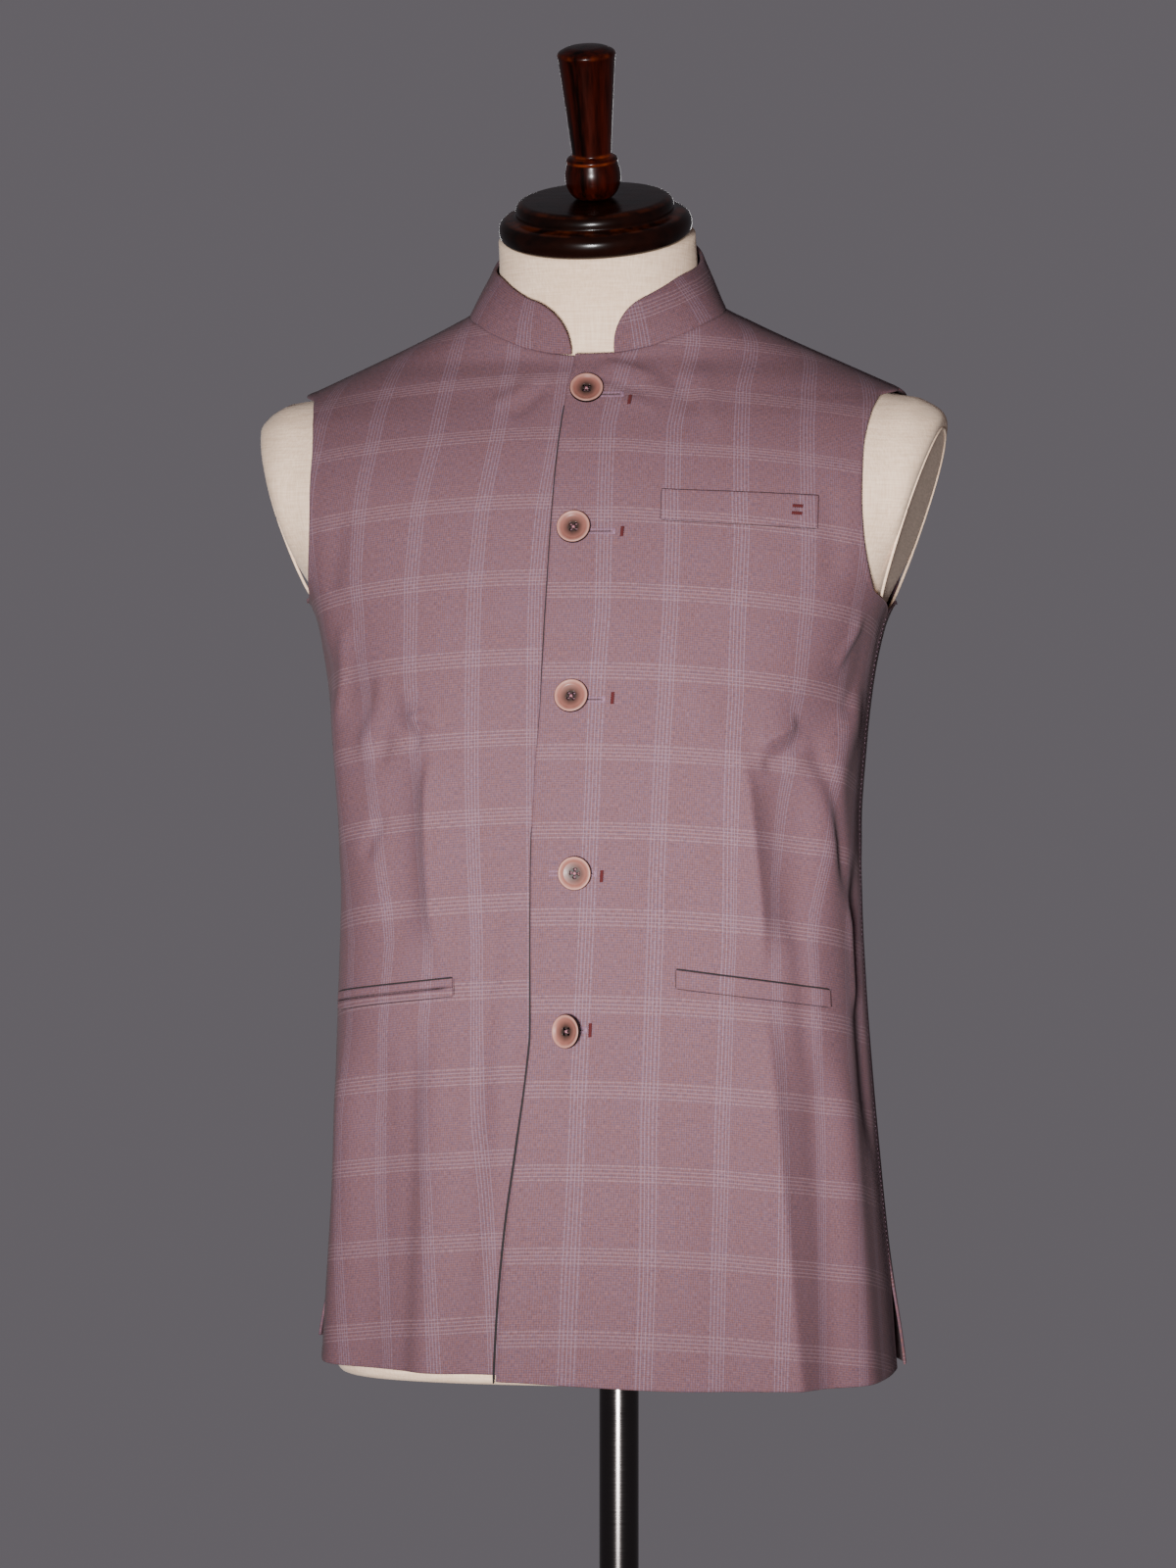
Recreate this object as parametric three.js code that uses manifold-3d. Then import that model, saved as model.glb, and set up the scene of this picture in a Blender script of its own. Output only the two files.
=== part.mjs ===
// A sleeveless band-collar waistcoat, buttoned down the front, worn by a linen tailor's form with a
// turned wooden neck cap, on a steel pole and a round foot.
// Millimetres, +Z up. The wearer faces -Y, and the wearer's left is +X. The origin is the middle of
// the foot's underside.
import * as THREE from 'three';
import { mergeVertices } from 'three/addons/utils/BufferGeometryUtils.js';
import Module from 'manifold-3d';

const wasm = await Module();
wasm.setup();

// Driving sizes
const HEM_HEIGHT = 640; // the hem's level above the floor
const WALL = 1.6; // cloth, canvas and facing together
const COLLAR_WALL = 2.2;
const SEAM_HALF_GAP = 0.22; // each piece stops this far short of its seam
const OVERLAP_LIFT = 2.7; // the buttonhole front lies this far outside the button front
const UNDERLAP = 20; // the button front reaches this far past the centre line
const UNDERLAP_DROP = 2.5; // and its top corner lies this much lower
const ARMPIT = 473; // heights from here on are above the hem
const SHOULDER_TIP = 617;
const VENT_TOP = 62;
const VENT_FLARE = { left: 5, right: 10 }; // how far the back's lower corners stand out
const VENT_OPEN = 3; // each edge of a vent stands back this far at the hem

const BUTTON_DIAMETER = 21;
const BUTTON_HOLE_RADIUS = 0.85;
const BUTTON_HOLE_RING = 2.1;
const BUTTON_GAP = 0.5; // thread shank at the button's lowest edge

const FORM_OFFSET = { x: -7, y: -18 }; // the pole stands a little behind the form's middle
const POLE_DIAMETER = 25;
const FOOT_DIAMETER = 340;
const FOOT_THICKNESS = 9;
const HUB_HEIGHT = 24; // above the foot's plate
const CAP_TILT = THREE.MathUtils.degToRad(20); // the neck leans forward
const CAP_RADIUS = 60.7;
const CAP_HEIGHT = 25.6; // both discs
const TOUCH_GAP = 0.3; // between faces that rest on each other

// The worn garment's outside, as level sections of a rounded box: half width, depth in front of and
// behind the section's own centre, how square each half is (2 is an ellipse), and where that centre is.
const BODY = [
  { z: -14, side: 182, front: 117, back: 128, squareFront: 2.9, squareBack: 2.5, midX: 5.2, midY: 0 },
  { z: 0, side: 181, front: 117, back: 128, squareFront: 2.9, squareBack: 2.5, midX: 5, midY: 0 },
  { z: 60, side: 177, front: 116, back: 126, squareFront: 2.9, squareBack: 2.5, midX: 4.2, midY: 0 },
  { z: 120, side: 172, front: 115, back: 121, squareFront: 2.9, squareBack: 2.5, midX: 3, midY: 0 },
  { z: 180, side: 168, front: 115, back: 115, squareFront: 2.9, squareBack: 2.5, midX: 1.4, midY: 0 },
  { z: 240, side: 165, front: 116, back: 109, squareFront: 2.9, squareBack: 2.5, midX: 0.2, midY: 0 },
  { z: 300, side: 163, front: 118, back: 107, squareFront: 2.9, squareBack: 2.5, midX: -0.6, midY: 0 },
  { z: 340, side: 163, front: 120, back: 109, squareFront: 2.8, squareBack: 2.5, midX: -1.2, midY: 0 },
  { z: 390, side: 166.4, front: 122, back: 117, squareFront: 2.7, squareBack: 2.5, midX: -1.6, midY: 0 },
  { z: 430, side: 170.6, front: 123, back: 123, squareFront: 2.7, squareBack: 2.6, midX: -1.4, midY: 0 },
  { z: 466, side: 177.5, front: 121.5, back: 127, squareFront: 2.7, squareBack: 2.7, midX: -0.8, midY: 0 },
  { z: 482, side: 184, front: 119.6, back: 128, squareFront: 2.75, squareBack: 2.8, midX: -0.5, midY: 0 },
  { z: 500, side: 194, front: 117, back: 129, squareFront: 2.8, squareBack: 2.9, midX: -0.3, midY: 0 },
  { z: 541, side: 215, front: 110, back: 127, squareFront: 2.8, squareBack: 2.9, midX: 0, midY: 0 },
  { z: 572, side: 224, front: 100, back: 123, squareFront: 2.5, squareBack: 2.7, midX: 0, midY: 0 },
  { z: 590, side: 221, front: 91, back: 118, squareFront: 2.3, squareBack: 2.5, midX: 0, midY: 0 },
  { z: 601, side: 213, front: 85, back: 115, squareFront: 2.1, squareBack: 2.3, midX: 0, midY: 0 },
  { z: 609, side: 199, front: 81, back: 113, squareFront: 2, squareBack: 2.2, midX: 0, midY: 0 },
  { z: 617, side: 181, front: 77, back: 111, squareFront: 2, squareBack: 2.1, midX: 0, midY: 0 },
  { z: 631, side: 150, front: 68, back: 105, squareFront: 2, squareBack: 2, midX: 0, midY: 0 },
  { z: 645, side: 119, front: 66.5, back: 97, squareFront: 2, squareBack: 2, midX: 0, midY: -1 },
  { z: 657, side: 94, front: 66, back: 89, squareFront: 2, squareBack: 2, midX: 0, midY: -2 },
  { z: 666, side: 77, front: 66, back: 83.5, squareFront: 2, squareBack: 2, midX: 0, midY: -3.5 },
  { z: 673, side: 71.5, front: 66, back: 79, squareFront: 2, squareBack: 2, midX: -0.5, midY: -5.5 },
  { z: 681, side: 68.5, front: 66, back: 75, squareFront: 2, squareBack: 2, midX: -1, midY: -8 },
  { z: 690, side: 67, front: 65, back: 71, squareFront: 2, squareBack: 2, midX: -1.3, midY: -11 },
  { z: 700, side: 66.2, front: 63.5, back: 66.5, squareFront: 2, squareBack: 2, midX: -1.3, midY: -15 },
  { z: 712, side: 65.8, front: 62.5, back: 64.5, squareFront: 2, squareBack: 2, midX: -1.3, midY: -20 },
  { z: 735, side: 65.6, front: 62, back: 63, squareFront: 2, squareBack: 2, midX: -1.3, midY: -26 },
];

// How far the form stands inside the garment's outside
const EASE = [
  { z: -14, ease: 9 },
  { z: 260, ease: 10 },
  { z: 340, ease: 8.5 },
  { z: 400, ease: 7 },
  { z: 450, ease: 5.6 },
  { z: 500, ease: 5 },
  { z: 560, ease: 4.5 },
  { z: 600, ease: 4.8 },
  { z: 650, ease: 6 },
  { z: 690, ease: 4.4 },
  { z: 730, ease: 3.6 },
];
const ARM_EASE = 0.6; // past the armholes nothing covers the form

// The buttonhole front's free edge: distance past the centre line
const FRONT_EDGE = [
  { z: -10, past: 54 },
  { z: 47, past: 50.5 },
  { z: 95, past: 45.5 },
  { z: 142, past: 38 },
  { z: 189, past: 30.3 },
  { z: 217, past: 27.2 },
  { z: 272, past: 26.4 },
  { z: 313, past: 25.4 },
  { z: 367, past: 22.4 },
  { z: 420, past: 17.8 },
  { z: 523, past: 14.6 },
  { z: 608, past: 10 },
  { z: 640, past: 6 },
];

// The neckline's height at each angle from the front centre, up to the nape
const NECKLINE = [
  { angle: 0, z: 632 },
  { angle: 15, z: 632.6 },
  { angle: 30, z: 636.4 },
  { angle: 45, z: 645 },
  { angle: 60, z: 655 },
  { angle: 75, z: 661.5 },
  { angle: 90, z: 666 },
  { angle: 105, z: 671 },
  { angle: 120, z: 677 },
  { angle: 135, z: 682.5 },
  { angle: 150, z: 687 },
  { angle: 165, z: 689.3 },
  { angle: 180, z: 690 },
];

// Half widths at the armhole's edge, from armpit to shoulder tip
const ARMHOLE = [
  { z: 479, front: 178, back: 178 },
  { z: 488, front: 177, back: 179.5 },
  { z: 502, front: 175, back: 181.5 },
  { z: 519, front: 173, back: 184.5 },
  { z: 541, front: 172, back: 187.5 },
  { z: 569, front: 172, back: 187.5 },
  { z: 595, front: 175, back: 184 },
  { z: 606, front: 178, back: 182 },
];

// Hem levels along each piece, from its centre (share 0) to its side seam (share 1, or -1 at the
// wearer's right)
const HEM = {
  left: [{ share: 0, z: 3 }, { share: 0.45, z: -1.5 }, { share: 0.75, z: -1 }, { share: 1, z: 2 }],
  right: [{ share: 0, z: 4.5 }, { share: 0.5, z: 7 }, { share: 1, z: 8 }],
  back: [{ share: -1, z: 16 }, { share: -0.5, z: 9 }, { share: 0, z: 5 }, { share: 1, z: 4 }],
};

// Folds of each piece: the soft path goes through three points (girth from the centre line, height).
// A positive height stands out and a negative one is a trough. A low edge number makes it crisp.
const FOLDS = {
  left: [
    { name: 'dart', path: [104, 396, 110, 330, 116, 246], width: 11, height: 2.4, edge: 1.3 },
    { name: 'skirt_crease', path: [116, 240, 120, 130, 133, -30], width: 17, height: 3.6, edge: 1.3 },
    { name: 'dart_side', path: [128, 388, 137, 320, 139, 262], width: 17, height: -3.2, edge: 2 },
    { name: 'armpit_trough', path: [228, 462, 174, 420, 132, 392], width: 18, height: -2.8, edge: 2 },
    { name: 'armpit_ridge', path: [222, 424, 176, 380, 168, 280], width: 17, height: 2.4, edge: 2 },
    { name: 'skirt_side', path: [172, 210, 176, 100, 182, -30], width: 16, height: 2.4, edge: 2 },
    { name: 'skirt_hollow', path: [150, 220, 152, 110, 158, -30], width: 14, height: -2.6, edge: 2 },
    { name: 'waist_roll', path: [215, 330, 212, 240, 218, 120], width: 15, height: -2.4, edge: 2 },
  ],
  right: [
    { name: 'dart', path: [87, 392, 90, 330, 84, 246], width: 11, height: 2.4, edge: 1.3 },
    { name: 'dart_side', path: [108, 402, 112, 330, 108, 262], width: 16, height: -2.8, edge: 2 },
    { name: 'edge_hollow', path: [34, 440, 40, 190, 62, -30], width: 21, height: -5, edge: 2 },
    { name: 'skirt_ridge', path: [84, 236, 88, 120, 98, -30], width: 20, height: 3.2, edge: 2 },
    { name: 'armpit_trough', path: [206, 452, 160, 428, 116, 404], width: 19, height: -2.2, edge: 2 },
    { name: 'armhole_roll', path: [176, 500, 172, 420, 168, 300], width: 19, height: 2, edge: 2 },
    { name: 'skirt_hollow', path: [128, 220, 130, 110, 138, -30], width: 18, height: -3, edge: 2 },
    { name: 'skirt_side', path: [168, 220, 170, 110, 178, -30], width: 18, height: 2.4, edge: 2 },
  ],
  back: [
    { name: 'blade_left', path: [92, 440, 84, 350, 74, 240], width: 22, height: 2.6, edge: 2 },
    { name: 'blade_right', path: [-98, 430, -88, 340, -80, 220], width: 22, height: 2.4, edge: 2 },
    { name: 'spine', path: [2, 520, -2, 330, 0, 130], width: 26, height: -2.8, edge: 2 },
    { name: 'flare_left', path: [112, 220, 118, 110, 128, -30], width: 28, height: 4, edge: 2 },
    { name: 'flare_right', path: [-104, 230, -112, 110, -118, -30], width: 26, height: 4.2, edge: 2 },
    { name: 'seat', path: [-10, 150, 6, 70, 10, -30], width: 24, height: -2.4, edge: 2 },
    { name: 'waist_left', path: [210, 330, 160, 306, 112, 316], width: 13, height: -2.2, edge: 2 },
    { name: 'waist_right', path: [-214, 318, -168, 296, -118, 304], width: 13, height: -2.4, edge: 2 },
  ],
};

// Buttons: place on the buttonhole front, and how far the face leans up and towards the wearer's left
const BUTTONS = [
  { x: 2.6, z: 607, up: 3, left: 7 },
  { x: 0, z: 522, up: 8, left: 0 },
  { x: 1.6, z: 420, up: 17, left: 0 },
  { x: 2.2, z: 313, up: 3, left: -3 },
  { x: -3.6, z: 217, up: 4, left: -28 },
];

// Welts: girth and height of the inner and outer end's lower edge, and the height of each end
const WELTS = {
  chest_welt: { side: 1, inner: [52.5, 527.5], outer: [148, 522], tall: [18.5, 20] },
  hip_welt_left: { side: 1, inner: [62, 243], outer: [163, 230.5], tall: [11.5, 10.5] },
  hip_welt_right: { side: -1, inner: [76, 237.5], outer: [176, 226.5], tall: [11, 11] },
};
const WELT_WALL = 1.3;
const WELT_LIFT = 0.9;

// A smooth curve through a table's rows that never swings past them
function monotone(rows, key, value) {
  const x = rows.map((row) => row[key]);
  const y = rows.map((row) => row[value]);
  const last = x.length - 1;
  const rise = x.slice(1).map((next, i) => (y[i + 1] - y[i]) / (next - x[i]));
  const slope = y.map((_, i) => {
    if (i === 0) return rise[0];
    if (i === last) return rise[last - 1];
    return rise[i - 1] * rise[i] <= 0 ? 0 : (2 * rise[i - 1] * rise[i]) / (rise[i - 1] + rise[i]);
  });
  return (at) => {
    const inside = Math.min(Math.max(at, x[0]), x[last]);
    let i = 0;
    while (i < last - 1 && inside > x[i + 1]) i += 1;
    const step = x[i + 1] - x[i];
    const t = (inside - x[i]) / step;
    const a = (1 + 2 * t) * (1 - t) ** 2;
    const b = t * (1 - t) ** 2;
    const c = t * t * (3 - 2 * t);
    const d = t * t * (t - 1);
    return a * y[i] + b * step * slope[i] + c * y[i + 1] + d * step * slope[i + 1];
  };
}

const body = Object.fromEntries(
  ['side', 'front', 'back', 'squareFront', 'squareBack', 'midX', 'midY'].map((column) => [
    column,
    monotone(BODY, 'z', column),
  ]),
);
const ease = monotone(EASE, 'z', 'ease');
const frontEdge = monotone(FRONT_EDGE, 'z', 'past');
const neckHeight = monotone(NECKLINE, 'angle', 'z');
const armhole = { front: monotone(ARMHOLE, 'z', 'front'), back: monotone(ARMHOLE, 'z', 'back') };
const lerp = THREE.MathUtils.lerp;
const smooth = (from, to, at) => THREE.MathUtils.smoothstep(at, from, to);

// Distance from the section's centre at an angle from its front or back axis
function reach(half, angle, z) {
  const square = body[half === 'front' ? 'squareFront' : 'squareBack'](z);
  const across = Math.abs(Math.sin(angle)) / body.side(z);
  const along = Math.abs(Math.cos(angle)) / body[half](z);
  return (across ** square + along ** square) ** (-1 / square);
}

function sectionPoint(half, angle, z) {
  const r = reach(half, angle, z);
  const forward = half === 'front' ? -1 : 1;
  return [r * Math.sin(angle), body.midY(z) + forward * r * Math.cos(angle)];
}

// Girth from the centre line to each of many angles round a quarter of the section
const QUARTER_STEPS = 90;
const quarterCache = new Map();
function quarter(half, z) {
  const key = `${half}${z.toFixed(3)}`;
  if (!quarterCache.has(key)) {
    const rows = [];
    let girth = 0;
    let before = null;
    for (let i = 0; i <= QUARTER_STEPS; i += 1) {
      const angle = (Math.PI / 2) * (i / QUARTER_STEPS);
      const [x, y] = sectionPoint(half, angle, z);
      if (before) girth += Math.hypot(x - before[0], y - before[1]);
      rows.push({ angle, girth, x });
      before = [x, y];
    }
    quarterCache.set(key, rows);
  }
  return quarterCache.get(key);
}

function lookUp(rows, key, value, at) {
  let i = 0;
  while (i < rows.length - 2 && rows[i + 1][key] < at) i += 1;
  const t = (at - rows[i][key]) / (rows[i + 1][key] - rows[i][key]);
  return lerp(rows[i][value], rows[i + 1][value], t);
}

const fullGirth = (half, z) => quarter(half, z)[QUARTER_STEPS].girth;
const girthAtX = (half, x, z) => Math.sign(x) * lookUp(quarter(half, z), 'x', 'girth', Math.abs(x));
const girthAtAngle = (half, degrees, z) =>
  lookUp(quarter(half, z), 'angle', 'girth', THREE.MathUtils.degToRad(degrees));

function onBody(half, girth, z) {
  const angle = lookUp(quarter(half, z), 'girth', 'angle', Math.abs(girth));
  const [x, y] = sectionPoint(half, angle, z);
  return new THREE.Vector3(body.midX(z) + Math.sign(girth) * x, y, z);
}

function bodyNormal(half, girth, z) {
  const step = 1;
  const along = onBody(half, girth + step, z).sub(onBody(half, girth - step, z));
  const up = onBody(half, girth, z + step).sub(onBody(half, girth, z - step));
  const normal = along.cross(up).normalize();
  return half === 'front' ? normal : normal.negate();
}

// Folds
const PATH_STEPS = 12;
function pathPoint(path, t) {
  const [g0, z0, g1, z1, g2, z2] = path;
  const w = [(1 - t) * (1 - 2 * t), 4 * t * (1 - t), t * (2 * t - 1)];
  return [w[0] * g0 + w[1] * g1 + w[2] * g2, w[0] * z0 + w[1] * z1 + w[2] * z2];
}

function foldHeight(folds, girth, z) {
  let total = 0;
  for (const fold of folds) {
    let best = Infinity;
    let where = 0;
    for (let i = 0; i < PATH_STEPS; i += 1) {
      const a = pathPoint(fold.path, i / PATH_STEPS);
      const b = pathPoint(fold.path, (i + 1) / PATH_STEPS);
      const d = [b[0] - a[0], b[1] - a[1]];
      const share = ((girth - a[0]) * d[0] + (z - a[1]) * d[1]) / (d[0] ** 2 + d[1] ** 2);
      const t = Math.min(Math.max(share, 0), 1);
      const away = Math.hypot(girth - a[0] - t * d[0], z - a[1] - t * d[1]);
      if (away < best) {
        best = away;
        where = (i + t) / PATH_STEPS;
      }
    }
    const fade = smooth(0, 0.3, where) * (1 - smooth(0.75, 1, where) * (fold.path[5] > 0 ? 1 : 0));
    total += fold.height * fade * Math.exp(-((best / fold.width) ** fold.edge));
  }
  return total;
}

// How far a point of a piece stands out from the plain body
function standOut(piece, girth, z) {
  const seam = piece === 'back' ? fullGirth('back', z) : fullGirth('front', z);
  const toSeam = Math.abs(seam - Math.abs(girth));
  const settled = z > VENT_TOP ? smooth(0, 22, toSeam) : lerp(smooth(0, 22, toSeam), 1, 1 - z / VENT_TOP);
  const top = 1 - smooth(560, 600, z);
  let out = foldHeight(FOLDS[piece], girth, z) * settled * top;
  const room = ease(z) - WALL - 1;
  if (out < 0) out = room * Math.tanh(out / room);
  if (piece === 'left') out += OVERLAP_LIFT * (1 - smooth(26, 62, girth));
  if (piece === 'back') {
    const flare = girth > 0 ? VENT_FLARE.left : VENT_FLARE.right;
    out += flare * (1 - smooth(0, 1.4 * VENT_TOP, z)) * (1 - smooth(0, 55, toSeam));
  }
  return out;
}

// A place on the outside of a piece: girth is signed, + towards the wearer's left
function onPiece(piece, girth, z, lift = 0) {
  const half = piece === 'back' ? 'back' : 'front';
  const local = piece === 'right' ? -girth : girth;
  const out = standOut(piece, local, z) + lift;
  return onBody(half, girth, z).addScaledVector(bodyNormal(half, girth, z), out);
}

function pieceNormal(piece, girth, z) {
  const step = 0.8;
  const along = onPiece(piece, girth + step, z).sub(onPiece(piece, girth - step, z));
  const up = onPiece(piece, girth, z + step).sub(onPiece(piece, girth, z - step));
  const normal = along.cross(up).normalize();
  return piece === 'back' ? normal.negate() : normal;
}

// A cloth wall over a grid of [girth, height]; its inside follows the same form, a wall further in
function clothWall(piece, grid, { lift = 0, thickness = WALL, facesOut }) {
  const rows = facesOut ? grid : grid.map((row) => [...row].reverse());
  const outside = rows.map((row) => row.map(([girth, z]) => onPiece(piece, girth, z, lift)));
  const inside = rows.map((row, r) =>
    row.map(([girth, z], c) => {
      const normal = pieceNormal(piece, girth, z);
      return outside[r][c].clone().addScaledVector(normal, -thickness);
    }),
  );
  return wall(outside, inside);
}

// A closed wall between two grids of points
function wall(outside, inside) {
  const rows = outside.length;
  const columns = outside[0].length;
  const points = [...outside.flat(), ...inside.flat()];
  const faces = [];
  const at = (layer, r, c) => layer * rows * columns + r * columns + c;
  const apart = (a, b) => points[a].distanceTo(points[b]);
  const quad = (a, b, c, d) => {
    if (apart(a, c) <= apart(b, d)) faces.push(a, b, c, a, c, d);
    else faces.push(b, c, d, b, d, a);
  };
  for (let r = 0; r < rows - 1; r += 1) {
    for (let c = 0; c < columns - 1; c += 1) {
      quad(at(0, r, c), at(0, r, c + 1), at(0, r + 1, c + 1), at(0, r + 1, c));
      quad(at(1, r, c), at(1, r + 1, c), at(1, r + 1, c + 1), at(1, r, c + 1));
    }
  }
  for (let c = 0; c < columns - 1; c += 1) {
    quad(at(0, 0, c), at(1, 0, c), at(1, 0, c + 1), at(0, 0, c + 1));
    quad(at(0, rows - 1, c), at(0, rows - 1, c + 1), at(1, rows - 1, c + 1), at(1, rows - 1, c));
  }
  for (let r = 0; r < rows - 1; r += 1) {
    quad(at(0, r, 0), at(0, r + 1, 0), at(1, r + 1, 0), at(1, r, 0));
    quad(at(0, r, columns - 1), at(1, r, columns - 1), at(1, r + 1, columns - 1), at(0, r + 1, columns - 1));
  }
  return solid(points, faces);
}

function solid(points, faces) {
  const geometry = new THREE.BufferGeometry();
  const numbers = points.flatMap((point) => point.toArray());
  geometry.setAttribute('position', new THREE.Float32BufferAttribute(numbers, 3));
  geometry.setIndex(faces);
  return geometry;
}

// The same grid moved inwards along its own normals
function moved(grid, distance) {
  const rows = grid.length;
  const columns = grid[0].length;
  return grid.map((row, r) =>
    row.map((point, c) => {
      const across = grid[r][Math.min(c + 1, columns - 1)].clone().sub(grid[r][Math.max(c - 1, 0)]);
      const up = grid[Math.min(r + 1, rows - 1)][c].clone().sub(grid[Math.max(r - 1, 0)][c]);
      return point.clone().addScaledVector(across.cross(up).normalize(), distance);
    }),
  );
}

// A grid inside four edges, each a function from 0 to 1 that gives [girth, height]; rows are closer
// together towards the top, where the shoulder curves most
const ROW_EASE = 0.08;
function coons(bottom, top, start, end, columns, rows) {
  const corner = [bottom(0), bottom(1), top(0), top(1)];
  return Array.from({ length: rows + 1 }, (_, r) => {
    const v = r / rows + ROW_EASE * Math.sin((Math.PI * r) / rows);
    return Array.from({ length: columns + 1 }, (_, c) => {
      const u = c / columns;
      return [0, 1].map(
        (k) =>
          (1 - v) * bottom(u)[k] + v * top(u)[k] + (1 - u) * start(v)[k] + u * end(v)[k] -
          (1 - u) * (1 - v) * corner[0][k] - u * (1 - v) * corner[1][k] -
          (1 - u) * v * corner[2][k] - u * v * corner[3][k],
      );
    });
  });
}

// Cutting lines of a front or half back: side seam up to the armpit, then the armhole to the tip
const ARMPIT_SHARE = 0.68;
function armholePoint(half, t) {
  const z = lerp(ARMPIT, SHOULDER_TIP, t - 0.09 * Math.sin(2 * Math.PI * t));
  const seam = fullGirth(half, z) - SEAM_HALF_GAP;
  const cut = girthAtX(half, armhole[half](z), z);
  const open = smooth(0, 0.17, t) * (1 - smooth(0.86, 1, t));
  return [lerp(seam, Math.min(cut, seam), open), z];
}

function sideLine(half, hem) {
  const rows = [];
  for (let i = 0; i <= 80; i += 1) {
    const [girth, z] = armholePoint(half, i / 80);
    const before = rows[i - 1];
    const run = before ? before.run + Math.hypot(girth - before.girth, z - before.z) : 0;
    rows.push({ run, girth, z });
  }
  const whole = rows[rows.length - 1].run;
  return (v) => {
    if (v <= ARMPIT_SHARE) {
      const z = lerp(hem, ARMPIT, v / ARMPIT_SHARE);
      const vent = VENT_OPEN * (1 - smooth(0, VENT_TOP, z));
      return [fullGirth(half, z) - SEAM_HALF_GAP - vent, z];
    }
    const run = (whole * (v - ARMPIT_SHARE)) / (1 - ARMPIT_SHARE);
    return [lookUp(rows, 'run', 'girth', run), lookUp(rows, 'run', 'z', run)];
  };
}

// Neckline up to the neck point, then the shoulder seam down to the tip
const NECK_SHARE = 0.5;
function topLine(half, from) {
  return (u) => {
    if (u <= NECK_SHARE) {
      const angle = lerp(from, 90, u / NECK_SHARE);
      const z = neckHeight(half === 'front' ? Math.abs(angle) : 180 - Math.abs(angle));
      const girth = girthAtAngle(half, Math.abs(angle), z);
      const short = smooth(0.8, 1, u / NECK_SHARE) * SEAM_HALF_GAP;
      return [Math.sign(angle || 1) * girth - short, z];
    }
    const z = lerp(neckHeight(90), SHOULDER_TIP, (u - NECK_SHARE) / (1 - NECK_SHARE));
    return [fullGirth(half, z) - SEAM_HALF_GAP, z];
  };
}

function frontPiece(side) {
  const hem = monotone(HEM[side], 'share', 'z');
  const isLeft = side === 'left';
  const startGirth = (z) => (isLeft ? -frontEdge(z) : -UNDERLAP);
  const pit = neckHeight(0);
  const startAngle = -THREE.MathUtils.radToDeg(Math.atan2(-startGirth(pit), body.front(pit)));
  const columns = isLeft ? 20 : 18;
  const rows = 30;
  const top = topLine('front', startAngle);
  const drop = isLeft ? 0 : UNDERLAP_DROP;
  const lowered = (u) => [top(u)[0], top(u)[1] - drop * (1 - smooth(0, 0.18, u))];
  const hemEnd = fullGirth('front', hem(1)) - SEAM_HALF_GAP - VENT_OPEN;
  const bottom = (u) => [lerp(startGirth(hem(0)), hemEnd, u), hem(u)];
  const start = (v) => {
    const z = lerp(hem(0), lowered(0)[1], v);
    return [lerp(startGirth(z), lowered(0)[0], smooth(0.97, 1, v)), z];
  };
  const grid = coons(bottom, lowered, start, sideLine('front', hem(1)), columns, rows);
  const sign = isLeft ? 1 : -1;
  const signed = grid.map((row) => row.map(([girth, z]) => [sign * girth, z]));
  return clothWall(side, signed, { facesOut: isLeft });
}

function backPiece() {
  const hem = monotone(HEM.back, 'share', 'z');
  const columns = 13;
  const rows = 28;
  const half = (sign) => {
    const outer = hem(sign);
    const bottom = (u) => [u * (fullGirth('back', outer) - SEAM_HALF_GAP - VENT_OPEN), hem(sign * u)];
    const start = (v) => [0, lerp(hem(0), neckHeight(180), v)];
    const grid = coons(bottom, topLine('back', 0), start, sideLine('back', outer), columns, rows);
    return grid.map((row) => row.map(([girth, z]) => [sign * girth, z]));
  };
  const [left, right] = [half(1), half(-1)];
  const grid = left.map((row, r) => [...right[r].slice(1).reverse(), ...row]);
  return clothWall('back', grid, { facesOut: false });
}

// The neckline seam at an angle all round: 0 in front, 90 at the wearer's left, 180 at the nape
function neckSeam(angle) {
  const around = Math.abs(angle) <= 180 ? angle : angle - 360;
  const half = Math.abs(around) <= 90 ? 'front' : 'back';
  const local = half === 'front' ? Math.abs(around) : 180 - Math.abs(around);
  const z = neckHeight(Math.abs(around));
  const [x, y] = sectionPoint(half, THREE.MathUtils.degToRad(local), z);
  return new THREE.Vector3(body.midX(z) + Math.sign(around) * x, y, z);
}

// The band collar's free edge stands this much higher than its seam
const COLLAR_RISE = [
  { angle: 0, rise: 31 },
  { angle: 45, rise: 29.5 },
  { angle: 75, rise: 27.5 },
  { angle: 100, rise: 31 },
  { angle: 140, rise: 34 },
  { angle: 180, rise: 35 },
];
const COLLAR_TOP = { halfWidth: 64.6, depth: 63, midX: -1.3, midY: -12 };
const COLLAR_ENDS = { left: 14, right: 352, rounding: 31 }; // angles where it starts and stops
const collarRise = monotone(COLLAR_RISE, 'angle', 'rise');
function collarTop(angle) {
  const turn = THREE.MathUtils.degToRad(angle);
  const x = COLLAR_TOP.midX + COLLAR_TOP.halfWidth * Math.sin(turn);
  const y = COLLAR_TOP.midY - COLLAR_TOP.depth * Math.cos(turn);
  return new THREE.Vector3(x, y, neckSeam(angle).z + collarRise(angle <= 180 ? angle : 360 - angle));
}

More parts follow.
